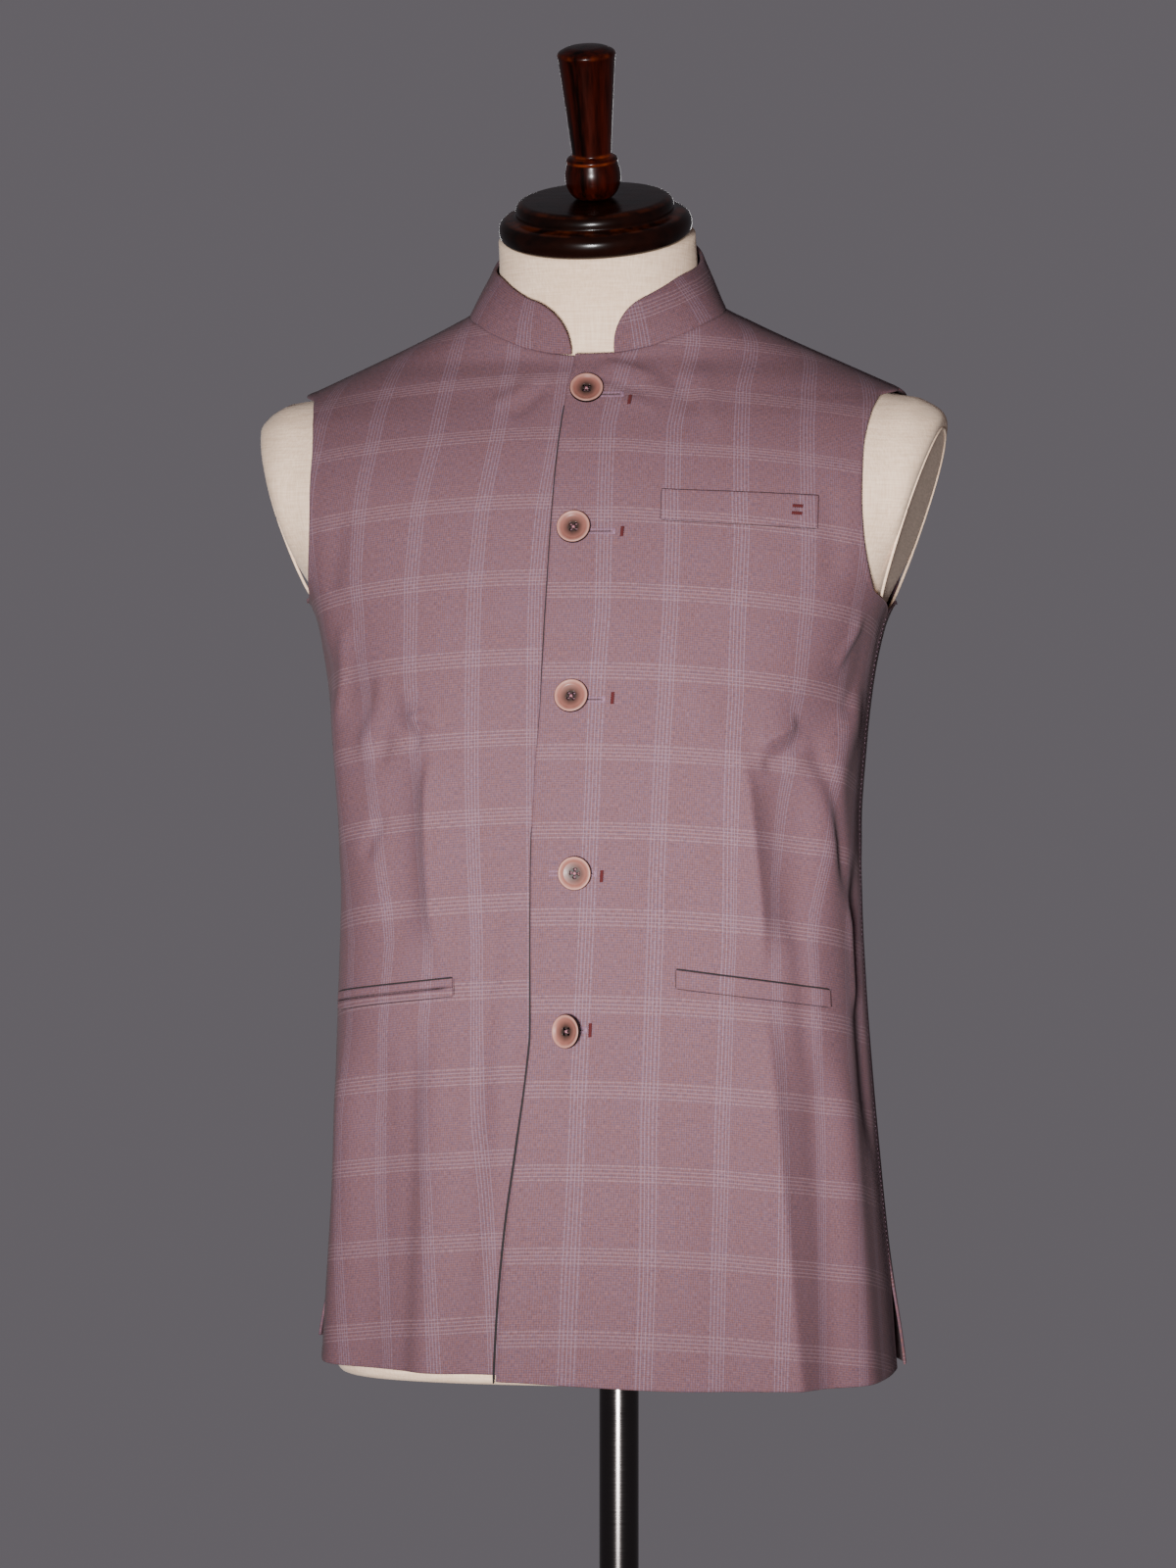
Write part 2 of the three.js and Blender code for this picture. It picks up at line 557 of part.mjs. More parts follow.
function collar() {
  const columns = 42;
  const rows = 3;
  const angles = Array.from({ length: columns + 1 }, (_, c) => {
    const t = c / columns;
    const eased = t - 0.08 * Math.sin(2 * Math.PI * t);
    return lerp(COLLAR_ENDS.left, COLLAR_ENDS.right, eased);
  });
  const lengths = [0];
  for (let c = 1; c <= columns; c += 1) {
    lengths.push(lengths[c - 1] + neckSeam(angles[c]).distanceTo(neckSeam(angles[c - 1])));
  }
  const total = lengths[columns];
  const outside = Array.from({ length: rows + 1 }, (_, r) =>
    angles.map((angle, c) => {
      const fromEnd = Math.min(lengths[c], total - lengths[c]);
      const near = Math.min(fromEnd / COLLAR_ENDS.rounding, 1);
      const share = Math.max((1 - (1 - near) ** 2.3) ** (1 / 2.3), 0.12);
      const seam = neckSeam(angle);
      const rise = collarTop(angle).sub(seam);
      const h = (r / rows) * share;
      const start = seam.addScaledVector(rise.clone().normalize(), 4.5 * SEAM_HALF_GAP);
      const bulge = 1.2 * Math.sin(Math.PI * h);
      const outwards = new THREE.Vector3(start.x, start.y + 5, 0).normalize();
      return start.addScaledVector(rise, h).addScaledVector(outwards, bulge + 0.4);
    }),
  );
  return wall(outside, moved(outside, -COLLAR_WALL));
}

function welt({ side, inner, outer, tall }) {
  const columns = 8;
  const grid = [0, 1].map((v) =>
    Array.from({ length: columns + 1 }, (_, c) => {
      const u = c / columns;
      const z = lerp(inner[1], outer[1], u) + v * lerp(tall[0], tall[1], u);
      return [side * lerp(inner[0], outer[0], u), z];
    }),
  );
  const shape = { lift: WELT_LIFT + WELT_WALL, thickness: WELT_WALL, facesOut: side > 0 };
  return clothWall(side > 0 ? 'left' : 'right', grid, shape);
}

// Turned and drilled pieces
function turned(profile, segments) {
  const points = profile.map(([r, h]) => new THREE.Vector2(r, h));
  return new THREE.LatheGeometry(points, segments).rotateX(Math.PI / 2);
}

function toManifold(geometry) {
  const bare = geometry.clone();
  bare.deleteAttribute('normal');
  bare.deleteAttribute('uv');
  const joined = mergeVertices(bare, 1e-4);
  return new wasm.Manifold(
    new wasm.Mesh({
      numProp: 3,
      vertProperties: new Float32Array(joined.attributes.position.array),
      triVerts: new Uint32Array(joined.index.array),
    }),
  );
}

function fromManifold(shape) {
  const mesh = shape.getMesh();
  const geometry = new THREE.BufferGeometry();
  const points = new THREE.BufferAttribute(new Float32Array(mesh.vertProperties), 3);
  geometry.setAttribute('position', points);
  geometry.setIndex(new THREE.BufferAttribute(new Uint32Array(mesh.triVerts), 1));
  return geometry;
}

const BUTTON_BASE = 6.6; // radius of the button's flat underside
const BUTTON_CORNER = { r: 10, h: 1.5 }; // where its bevel meets the rim
const BUTTON_PROFILE = [
  [0, 0], [BUTTON_BASE, 0], [BUTTON_CORNER.r, BUTTON_CORNER.h], [BUTTON_DIAMETER / 2, 2.7], [9.4, 3.6],
  [7.2, 2.3], [0, 1.9],
];
function buttonShape() {
  let shape = toManifold(turned(BUTTON_PROFILE, 18));
  for (let i = 0; i < 4; i += 1) {
    const angle = Math.PI / 4 + (i * Math.PI) / 2;
    const drill = new THREE.CylinderGeometry(BUTTON_HOLE_RADIUS, BUTTON_HOLE_RADIUS, 12, 6);
    drill.rotateX(Math.PI / 2);
    drill.translate(BUTTON_HOLE_RING * Math.cos(angle), BUTTON_HOLE_RING * Math.sin(angle), 0);
    shape = shape.subtract(toManifold(drill));
  }
  return fromManifold(shape);
}

function placeButton(mesh, { x, z, up, left }) {
  const seat = onPiece('left', x, z);
  const normal = bodyNormal('front', x, z);
  const above = new THREE.Vector3(0, 0, 1).addScaledVector(normal, -normal.z).normalize();
  const aside = above.clone().cross(normal).normalize();
  const [tiltUp, tiltLeft] = [up, left].map(THREE.MathUtils.degToRad);
  const facing = normal.clone().addScaledVector(above, Math.tan(tiltUp));
  facing.addScaledVector(aside, Math.tan(tiltLeft)).normalize();
  const right = above.clone().cross(facing).normalize();
  const over = facing.clone().cross(right);
  mesh.quaternion.setFromRotationMatrix(new THREE.Matrix4().makeBasis(right, over, facing));
  const tilt = facing.angleTo(normal);
  const corner = BUTTON_CORNER.r * Math.sin(tilt) - BUTTON_CORNER.h * Math.cos(tilt);
  const lift = BUTTON_GAP + Math.max(corner, BUTTON_BASE * Math.sin(tilt));
  mesh.position.copy(seat).addScaledVector(normal, lift);
}

// The form: rings that start level and lean with the neck
const ARM_PLATE = { midX: -1.7, topZ: 590, topX: 216, slope: 0.33 };
const NECK_PLANE = { x: -1.3, y: -22, z: 708.5 };
const FORM_RINGS = [
  8, 60, 120, 180, 240, 300, 350, 395, 430, 456, 472, 488, 506, 524, 541, 558, 572, 583, 592, 599, 605, 611,
  617, 624, 631, 638, 645, 651, 657, 662, 667, 673, 681, 690,
];
const FORM_BOTTOM = [
  { z: -1, inset: 9 },
  { z: 0.8, inset: 3.6 },
  { z: 4.5, inset: 0.6 },
];
const FORM_COLUMNS = 44;

// A point of the form: the body's own surface, moved in square to itself
function bodyInset(angle, z, inset) {
  const half = Math.cos(angle) >= 0 ? 'front' : 'back';
  const at = (turn, height) => {
    const own = half === 'front' ? turn : Math.PI - turn;
    const [x, y] = sectionPoint(half, own, height);
    return new THREE.Vector3(body.midX(height) + x, y, height);
  };
  const [turn, rise] = [0.01, 1];
  const along = at(angle + turn, z).sub(at(angle - turn, z));
  const up = at(angle, z + rise).sub(at(angle, z - rise));
  return at(angle, z).addScaledVector(along.cross(up).normalize(), -inset);
}

function formPoint(angle, level, lean, inset) {
  let z = level;
  let point = null;
  for (let i = 0; i < 14; i += 1) {
    const bare = smooth(181, 200, Math.abs(point ? point.x : 0));
    point = bodyInset(angle, z, lerp(ease(z), ARM_EASE, bare) + inset);
    z += level + lean * (point.y - NECK_PLANE.y) - point.z;
  }
  point.z = level + lean * (point.y - NECK_PLANE.y);
  if (point.z > ARMPIT - 2) {
    const plate = ARM_PLATE.topX - ARM_PLATE.slope * (ARM_PLATE.topZ - point.z);
    point.x = Math.min(Math.max(point.x, ARM_PLATE.midX - plate), ARM_PLATE.midX + plate);
  }
  return point;
}

function formTorso() {
  const lean = (level) => Math.tan(CAP_TILT) * smooth(600, 700, level);
  const rings = [
    ...FORM_BOTTOM.map(({ z, inset }) => ({ level: z, lean: 0, inset })),
    ...FORM_RINGS.map((level) => ({ level, lean: lean(level), inset: 0 })),
    { level: 698, lean: Math.tan(CAP_TILT), inset: 0 },
    { level: NECK_PLANE.z, lean: Math.tan(CAP_TILT), inset: 0 },
  ];
  const points = rings.flatMap((ring) =>
    Array.from({ length: FORM_COLUMNS }, (_, c) => {
      const angle = -Math.PI + (2 * Math.PI * (c + 0.5)) / FORM_COLUMNS;
      return formPoint(angle, ring.level, ring.lean, ring.inset);
    }),
  );
  const faces = [];
  for (let r = 0; r < rings.length - 1; r += 1) {
    for (let c = 0; c < FORM_COLUMNS; c += 1) {
      const next = (c + 1) % FORM_COLUMNS;
      const [a, b] = [r * FORM_COLUMNS + c, r * FORM_COLUMNS + next];
      faces.push(a, b, b + FORM_COLUMNS, a, b + FORM_COLUMNS, a + FORM_COLUMNS);
    }
  }
  const topStart = (rings.length - 1) * FORM_COLUMNS;
  const centres = [0, topStart].map((start) => {
    const ring = points.slice(start, start + FORM_COLUMNS);
    return ring.reduce((sum, p) => sum.add(p), new THREE.Vector3()).divideScalar(FORM_COLUMNS);
  });
  const [below, above] = [points.push(centres[0]) - 1, points.push(centres[1]) - 1];
  for (let c = 0; c < FORM_COLUMNS; c += 1) {
    const next = (c + 1) % FORM_COLUMNS;
    faces.push(below, next, c, above, topStart + c, topStart + next);
  }
  return solid(points, faces);
}

// The neck cap: two turned discs, then a bead and a tapered handle
const CAP_PROFILE = [
  [0, 0], [56.5, 0], [59.4, 2.4], [CAP_RADIUS, 7], [60, 11.6], [57, 14.8], [51.3, 15.6], [49.4, 16.4],
  [49.8, 20], [48.4, 23.6], [45, CAP_HEIGHT - 0.2], [0, CAP_HEIGHT],
];
const HANDLE_PROFILE = [
  [0, 0], [11.5, 0], [15.2, 4], [17.4, 10], [17.4, 16], [15.8, 22.5], [16.2, 24.4], [14.6, 26.4], [12.2, 27],
  [12.4, 31], [15.4, 64], [17.6, 87], [18.3, 90.4], [17.4, 92.4], [12, 95.2], [0, 96.2],
];

function foot() {
  const r = FOOT_DIAMETER / 2;
  const t = FOOT_THICKNESS;
  const hub = [[29, t], [22, t + 4], [20, t + 22], [18, t + HUB_HEIGHT], [0, t + HUB_HEIGHT]];
  return turned([[0, 0], [r, 0], [r, t - 3.5], [r - 3.5, t], ...hub], 36);
}

const finish = {
  suiting: new THREE.MeshStandardMaterial({ color: 0x937a82, roughness: 0.85, metalness: 0 }),
  linen: new THREE.MeshStandardMaterial({ color: 0xd2bfb2, roughness: 0.9, metalness: 0 }),
  button: new THREE.MeshStandardMaterial({ color: 0xb08a80, roughness: 0.25, metalness: 0 }),
  wood: new THREE.MeshStandardMaterial({ color: 0x2b120c, roughness: 0.22, metalness: 0 }),
  steel: new THREE.MeshStandardMaterial({ color: 0xb9b4b0, roughness: 0.2, metalness: 1 }),
};

function piece(name, geometry, material) {
  const mesh = new THREE.Mesh(geometry, material);
  mesh.name = name;
  return mesh;
}

const object = new THREE.Group();

// Worn pieces, in heights above the hem
const dressed = new THREE.Group();
dressed.position.set(FORM_OFFSET.x, FORM_OFFSET.y, HEM_HEIGHT);
dressed.add(
  piece('front_left', frontPiece('left'), finish.suiting),
  piece('front_right', frontPiece('right'), finish.suiting),
  piece('back', backPiece(), finish.suiting),
  piece('collar', collar(), finish.suiting),
);
for (const [name, row] of Object.entries(WELTS)) dressed.add(piece(name, welt(row), finish.suiting));
BUTTONS.forEach((row, i) => {
  const button = piece(`button_${i + 1}`, buttonShape(), finish.button);
  placeButton(button, row);
  dressed.add(button);
});
dressed.add(piece('form_torso', formTorso(), finish.linen));

// Neck cap, square to the leaning neck
const neckTop = new THREE.Group();
neckTop.position.set(NECK_PLANE.x, NECK_PLANE.y, NECK_PLANE.z);
neckTop.rotation.x = CAP_TILT;
const cap = piece('neck_cap', turned(CAP_PROFILE, 28), finish.wood);
cap.position.z = TOUCH_GAP;
const handle = piece('cap_handle', turned(HANDLE_PROFILE, 18), finish.wood);
handle.position.z = cap.position.z + CAP_HEIGHT + TOUCH_GAP;
neckTop.add(cap, handle);
dressed.add(neckTop);
object.add(dressed);

// Stand
const FLANGE_THICKNESS = 5;
const flangeTop = HEM_HEIGHT + FORM_BOTTOM[0].z - TOUCH_GAP;
const flangeShape = turned([[0, 0], [34, 0], [36, 2], [36, FLANGE_THICKNESS], [0, FLANGE_THICKNESS]], 28);
const flange = piece('stand_flange', flangeShape, finish.steel);
flange.position.z = flangeTop - FLANGE_THICKNESS;
const poleBottom = FOOT_THICKNESS + HUB_HEIGHT + TOUCH_GAP;
const poleLength = flange.position.z - TOUCH_GAP - poleBottom;
const poleShape = new THREE.CylinderGeometry(POLE_DIAMETER / 2, POLE_DIAMETER / 2, poleLength, 24);
const pole = piece('stand_pole', poleShape.rotateX(Math.PI / 2), finish.steel);
pole.position.z = poleBottom + poleLength / 2;
object.add(flange, pole, piece('stand_foot', foot(), finish.steel));

export default object;
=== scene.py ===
# %% [markdown]
# # A band-collar waistcoat on a tailor's form
# A waistcoat is a shell of wool suiting: two fronts that overlap down the middle, a back, a stand-up
# collar and three welted pockets. It is worn here by a linen-covered form on a steel stand.
# A tailor thinks of it as flat cloth wrapped round a figure, so this file does too. Every place on the
# cloth is given by its *girth*, the distance round the body from the centre line, and its height above
# the hem. One function turns the two numbers into a point in space, and all the pieces share it.

import math

import bpy
import numpy as np
from mathutils import Matrix, Vector


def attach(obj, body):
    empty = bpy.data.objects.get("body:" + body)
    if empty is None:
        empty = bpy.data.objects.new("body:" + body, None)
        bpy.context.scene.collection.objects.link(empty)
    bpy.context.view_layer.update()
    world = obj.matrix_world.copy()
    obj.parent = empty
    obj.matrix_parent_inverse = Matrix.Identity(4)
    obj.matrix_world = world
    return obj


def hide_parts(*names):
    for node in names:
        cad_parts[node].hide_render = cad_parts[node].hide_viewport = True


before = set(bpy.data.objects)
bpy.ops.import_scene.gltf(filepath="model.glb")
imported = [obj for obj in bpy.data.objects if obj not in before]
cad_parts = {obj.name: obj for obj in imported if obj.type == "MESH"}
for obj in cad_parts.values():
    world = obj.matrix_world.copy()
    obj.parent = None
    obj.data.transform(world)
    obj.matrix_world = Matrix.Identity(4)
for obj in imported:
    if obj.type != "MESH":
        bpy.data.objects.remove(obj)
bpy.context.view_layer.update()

# %% [markdown]
# ## Sizes
# The waistcoat's own sizes are in millimetres above the hem, as a cutter would write them. Blender works
# in metres from the floor, so one helper makes the change at the very end. The hem hangs 640 mm above
# the floor, and the body stands a little in front of the pole.

# %% Units and driving sizes
MM = 0.001
BODY_FOOT = np.array([-7.0, -18.0, 640.0])
SUITING_THICK = 1.6
COLLAR_THICK = 2.2
WELT_THICK = 1.3
SEAM_HALF_GAP = 0.06
OVERLAP_LIFT = 2.7
UNDERLAP = 20
UNDERLAP_DROP = 2.5
ARMPIT = 473
SHOULDER_TIP = 617
VENT_TOP = 62
VENT_FLARE = {"left": 5, "right": 10}
VENT_OPEN = 3


def to_world(points):
    """Millimetres above the hem, round the body's axis, into metres in the frame."""
    return (np.asarray(points, float) + BODY_FOOT) * MM


print("the hem is", to_world([0, 0, 0])[2], "m above the floor")

# %% [markdown]
# ## The body in level slices
# Cut across, a dressed torso is close to a rounded box: wide at the side, flatter in front, fuller at the
# back. A *superellipse* draws that with very few numbers. Each row of the table is one slice: its
# height, half width, depth in front and behind, how square each half is (2 is a plain ellipse), and
# where the slice's middle lies. A curve that never swings past its points runs through every column.

# %% Slices
BODY_COLUMNS = ("height", "side", "front", "back", "square_front", "square_back", "mid_x", "mid_y")
BODY = [
    (-14, 182, 117, 128, 2.9, 2.5, 5.2, 0),
    (0, 181, 117, 128, 2.9, 2.5, 5, 0),
    (60, 177, 116, 126, 2.9, 2.5, 4.2, 0),
    (120, 172, 115, 121, 2.9, 2.5, 3, 0),
    (180, 168, 115, 115, 2.9, 2.5, 1.4, 0),
    (240, 165, 116, 109, 2.9, 2.5, 0.2, 0),
    (300, 163, 118, 107, 2.9, 2.5, -0.6, 0),
    (340, 163, 120, 109, 2.8, 2.5, -1.2, 0),
    (390, 166.4, 122, 117, 2.7, 2.5, -1.6, 0),
    (430, 170.6, 123, 123, 2.7, 2.6, -1.4, 0),
    (466, 177.5, 121.5, 127, 2.7, 2.7, -0.8, 0),
    (482, 184, 119.6, 128, 2.75, 2.8, -0.5, 0),
    (500, 194, 117, 129, 2.8, 2.9, -0.3, 0),
    (541, 215, 110, 127, 2.8, 2.9, 0, 0),
    (572, 224, 100, 123, 2.5, 2.7, 0, 0),
    (590, 221, 91, 118, 2.3, 2.5, 0, 0),
    (601, 213, 85, 115, 2.1, 2.3, 0, 0),
    (609, 199, 81, 113, 2, 2.2, 0, 0),
    (617, 181, 77, 111, 2, 2.1, 0, 0),
    (631, 150, 68, 105, 2, 2, 0, 0),
    (645, 119, 66.5, 97, 2, 2, 0, -1),
    (657, 94, 66, 89, 2, 2, 0, -2),
    (666, 77, 66, 83.5, 2, 2, 0, -3.5),
    (673, 71.5, 66, 79, 2, 2, -0.5, -5.5),
    (681, 68.5, 66, 75, 2, 2, -1, -8),
    (690, 67, 65, 71, 2, 2, -1.3, -11),
    (700, 66.2, 63.5, 66.5, 2, 2, -1.3, -15),
    (712, 65.8, 62.5, 64.5, 2, 2, -1.3, -20),
    (735, 65.6, 62, 63, 2, 2, -1.3, -26),
]


def through(rows, column=1):
    """A smooth curve through a table's rows that never swings past them."""
    x, y = np.array(rows, float)[:, [0, column]].T
    rise = np.diff(y) / np.diff(x)
    same_way = rise[:-1] * rise[1:] > 0
    total = np.where(same_way, rise[:-1] + rise[1:], 1)
    slope = np.concatenate([rise[:1], np.where(same_way, 2 * rise[:-1] * rise[1:] / total, 0), rise[-1:]])

    def at(value):
        value = np.clip(value, x[0], x[-1])
        i = np.clip(np.searchsorted(x, value, side="right") - 1, 0, len(x) - 2)
        step = x[i + 1] - x[i]
        t = (value - x[i]) / step
        ends = (1 + 2 * t) * (1 - t) ** 2 * y[i] + t * t * (3 - 2 * t) * y[i + 1]
        return ends + t * (1 - t) ** 2 * step * slope[i] + t * t * (t - 1) * step * slope[i + 1]

    return at


body = {name: through(BODY, i) for i, name in enumerate(BODY_COLUMNS) if i}
print("half width at the armpit:", round(float(body["side"](ARMPIT)), 1), "mm")

# %% [markdown]
# ## From girth to a point
# A tape measure round a slice gives the girth. To go back from girth to an angle, each slice is walked
# once in small steps and the result is kept in a table, which is read with a little interpolation. The
# point itself is always worked out from the exact slice, so the surface has no steps in it.

# %% Girth tables
LEVEL_STEP = 2.0
LEVELS = np.arange(-30, 742, LEVEL_STEP)
TURNS = 180


def section(half, angle, z):
    """x and y on a slice, at an angle from its front or back axis towards the side."""
    square = body["square_" + half](z)
    across = np.abs(np.sin(angle)) / body["side"](z)
    along = np.abs(np.cos(angle)) / body[half](z)
    reach = (across**square + along**square) ** (-1 / square)
    forward = -1 if half == "front" else 1
    return reach * np.sin(angle), body["mid_y"](z) + forward * reach * np.cos(angle)


def unroll(half):
    """The whole girth of each slice's quarter, and the angle at equal shares of that girth."""
    turn = np.linspace(0, np.pi / 2, TURNS + 1)
    x, y = section(half, turn[None, :], LEVELS[:, None])
    run = np.cumsum(np.hypot(np.diff(x, axis=1), np.diff(y, axis=1)), axis=1)
    run = np.hstack([np.zeros((len(LEVELS), 1)), run])
    shares = np.linspace(0, 1, TURNS + 1)
    angles = np.array([np.interp(shares, row / row[-1], turn) for row in run])
    return run[:, -1], angles


QUARTER = {half: unroll(half) for half in ("front", "back")}


def full_girth(half, z):
    return np.interp(z, LEVELS, QUARTER[half][0])


def angle_at(half, girth, z):
    share = np.abs(girth) / full_girth(half, z) * TURNS
    level = np.clip((z - LEVELS[0]) / LEVEL_STEP, 0, len(LEVELS) - 1.001)
    i, j = level.astype(int), np.clip(share.astype(int), 0, TURNS - 1)
    p, q = level - i, share - j
    table = QUARTER[half][1]
    low = (1 - q) * table[i, j] + q * table[i, j + 1]
    high = (1 - q) * table[i + 1, j] + q * table[i + 1, j + 1]
    return (1 - p) * low + p * high


def on_body(half, girth, z):
    """A point on the plain body, in millimetres. Girth is + towards the wearer's left."""
    girth, z = np.broadcast_arrays(np.asarray(girth, float), np.asarray(z, float))
    x, y = section(half, angle_at(half, girth, z), z)
    return np.stack([body["mid_x"](z) + np.sign(girth) * x, y, z], -1)


def girth_at(half, key, value, z):
    """Girth where a slice reaches a half width (key "x") or an angle in radians (key "angle")."""
    turn = np.linspace(0, np.pi / 2, TURNS + 1)
    found = []
    for at, level in zip(*np.broadcast_arrays(np.asarray(value, float), np.asarray(z, float))):
        x, y = section(half, turn, level)
        run = np.concatenate([[0], np.cumsum(np.hypot(np.diff(x), np.diff(y)))])
        found.append(np.interp(at, x if key == "x" else turn, run))
    return np.array(found)


def unit(vectors):
    return vectors / np.maximum(np.linalg.norm(vectors, axis=-1, keepdims=True), 1e-12)


def body_normal(half, girth, z):
    along = on_body(half, girth + 1.0, z) - on_body(half, girth - 1.0, z)
    up = on_body(half, girth, z + 1.0) - on_body(half, girth, z - 1.0)
    return unit(np.cross(along, up)) * (1 if half == "front" else -1)


print("girth round the hem:", round(2 * float(full_girth("front", 0) + full_girth("back", 0))), "mm")

# %% [markdown]
# ## Folds
# Folds in worn cloth aren't noise. Each one starts where the cloth is held, such as a dart's point, the
# armpit or a button, runs along its own line, and dies away. So each is listed on its own: three points of
# a soft path, a width, a height (a minus is a trough) and how crisp its crest is, where 2 is round.
# The first tables hold the large folds, and the second the fine ones that only this surface shows.

# %% Large folds
FOLDS = {
    "left": [
        (104, 396, 110, 330, 116, 246, 11, 2.4, 1.3),
        (116, 240, 120, 130, 133, -30, 17, 3.6, 1.3),
        (128, 388, 137, 320, 139, 262, 17, -3.2, 2),
        (228, 462, 174, 420, 132, 392, 18, -2.8, 2),
        (222, 424, 176, 380, 168, 280, 17, 2.4, 2),
        (172, 210, 176, 100, 182, -30, 16, 2.4, 2),
        (150, 220, 152, 110, 158, -30, 14, -2.6, 2),
        (215, 330, 212, 240, 218, 120, 15, -2.4, 2),
    ],
    "right": [
        (87, 392, 90, 330, 84, 246, 11, 2.4, 1.3),
        (108, 402, 112, 330, 108, 262, 16, -2.8, 2),
        (34, 440, 40, 190, 62, -30, 21, -5, 2),
        (84, 236, 88, 120, 98, -30, 20, 3.2, 2),
        (206, 452, 160, 428, 116, 404, 19, -2.2, 2),
        (176, 500, 172, 420, 168, 300, 19, 2, 2),
        (128, 220, 130, 110, 138, -30, 18, -3, 2),
        (168, 220, 170, 110, 178, -30, 18, 2.4, 2),
    ],
    "back": [
        (92, 440, 84, 350, 74, 240, 22, 2.6, 2),
        (-98, 430, -88, 340, -80, 220, 22, 2.4, 2),
        (2, 520, -2, 330, 0, 130, 26, -2.8, 2),
        (112, 220, 118, 110, 128, -30, 28, 4, 2),
        (-104, 230, -112, 110, -118, -30, 26, 4.2, 2),
        (-10, 150, 6, 70, 10, -30, 24, -2.4, 2),
        (210, 330, 160, 306, 112, 316, 13, -2.2, 2),
        (-214, 318, -168, 296, -118, 304, 13, -2.4, 2),
    ],
}

# %% Fine creases
CREASES = {
    "left": [
        (8, 618, 22, 612, 44, 606, 2.8, -1.0, 2),
        (8, 624, 24, 622, 46, 614, 2.6, 0.9, 2),
        (16, 598, 32, 600, 52, 594, 3.6, 0.6, 2),
        (40, 624, 58, 612, 70, 592, 5, -1.0, 2),
        (70, 630, 76, 606, 84, 576, 7, 0.8, 2),
        (12, 214, 22, 196, 34, 160, 6, -0.9, 2),
        (-4, 206, 2, 176, 12, 130, 8, 0.8, 2),
        (-13, 470, -21, 330, -26, 200, 5, 0.9, 2),
        (-24, 250, -39, 120, -51, -30, 6, 0.9, 2),
        (10, 306, 22, 296, 40, 292, 5, -0.6, 2),
        (104, 392, 110, 330, 116, 250, 5.5, 1.5, 1.5),
        (116, 244, 121, 130, 134, -30, 7, 1.7, 1.5),
        (110, 388, 128, 398, 146, 406, 5, 2.2, 1.7),
        (116, 376, 132, 384, 152, 394, 5, -2.2, 2),
        (146, 400, 172, 356, 190, 292, 8, -1.8, 2),
        (140, 330, 142, 250, 146, 180, 8, -1.3, 2),
        (190, 300, 200, 262, 198, 220, 7, 1.5, 2),
        (196, 474, 184, 452, 172, 436, 6, 1.2, 2),
        (206, 460, 198, 430, 178, 404, 6, -1.4, 2),
        (150, 560, 158, 520, 160, 486, 8, -0.9, 2),
        (60, 470, 74, 430, 92, 402, 12, 0.9, 2),
        (40, 350, 62, 300, 84, 262, 14, -0.8, 2),
        (46, 200, 52, 110, 58, -30, 16, 0.9, 2),
        (84, 190, 86, 100, 92, -30, 13, -1.2, 2),
    ],
    "right": [
        (20, 612, 32, 604, 44, 590, 4.5, -1.1, 2),
        (30, 618, 44, 606, 60, 600, 4.5, 0.9, 2),
        (26, 520, 30, 480, 34, 440, 8, -1.1, 2),
        (16, 590, 21, 480, 29, 350, 5, -1.5, 2),
        (21, 470, 30, 330, 34, 200, 7, -2.6, 2),
        (32, 250, 47, 120, 59, -30, 8, -2.6, 2),
        (44, 330, 52, 250, 84, 60, 9, 2.0, 2),
        (87, 396, 90, 330, 84, 250, 5.5, 1.5, 1.5),
        (82, 398, 92, 408, 106, 404, 5, 2.0, 1.7),
        (94, 390, 104, 396, 118, 404, 5, -1.9, 2),
        (108, 426, 120, 400, 132, 372, 6.5, -1.6, 2),
        (120, 440, 132, 412, 146, 380, 7, 1.2, 2),
        (126, 352, 134, 336, 146, 318, 6, -1.2, 2),
        (150, 470, 160, 440, 170, 400, 7, 1.2, 2),
        (190, 320, 198, 280, 200, 230, 7, -1.2, 2),
        (56, 210, 60, 130, 76, 20, 10, 1.6, 2),
        (100, 230, 108, 130, 116, -30, 9, -1.4, 2),
        (152, 540, 156, 510, 168, 480, 8, -1.0, 2),
    ],
    "back": [
        (30, 560, 44, 520, 60, 470, 12, 0.9, 2),
        (-36, 566, -52, 520, -66, 466, 12, 0.9, 2),
        (150, 560, 158, 520, 172, 486, 9, -1.2, 2),
        (-152, 560, -160, 520, -174, 486, 9, -1.3, 2),
        (18, 352, 44, 340, 70, 346, 8, -1.1, 2),
        (-16, 340, -46, 330, -74, 338, 8, -1.0, 2),
        (40, 250, 48, 170, 44, 80, 12, 1.1, 2),
        (-46, 240, -52, 160, -50, 70, 12, -1.0, 2),
        (120, 360, 150, 330, 190, 312, 7, 1.3, 2),
        (-126, 352, -152, 326, -196, 306, 7, 1.2, 2),
    ],
}
print(sum(map(len, FOLDS.values())), "large folds and", sum(map(len, CREASES.values())), "fine creases")

# %% [markdown]
# ## The height of the folds
# A fold's height at a place depends only on how far that place is from the fold's line. The line is
# walked in short steps and the nearest step wins. `smoothstep` fades each fold in at its start, and out
# at its end unless it runs off the hem. Worn wool also rolls gently everywhere, which three slow waves add.

# %% Fold height
PATH_STEPS = 20
FOLD_GAIN = 1.8


def smooth(low, high, value):
    t = np.clip((np.asarray(value, float) - low) / (high - low), 0, 1)
    return t * t * (3 - 2 * t)


def lerp(a, b, t):
    return a + (b - a) * t


def path_points(path, steps=PATH_STEPS):
    t = np.linspace(0, 1, steps + 1)
    weights = np.stack([(1 - t) * (1 - 2 * t), 4 * t * (1 - t), t * (2 * t - 1)], -1)
    return weights @ np.array(path, float).reshape(3, 2)


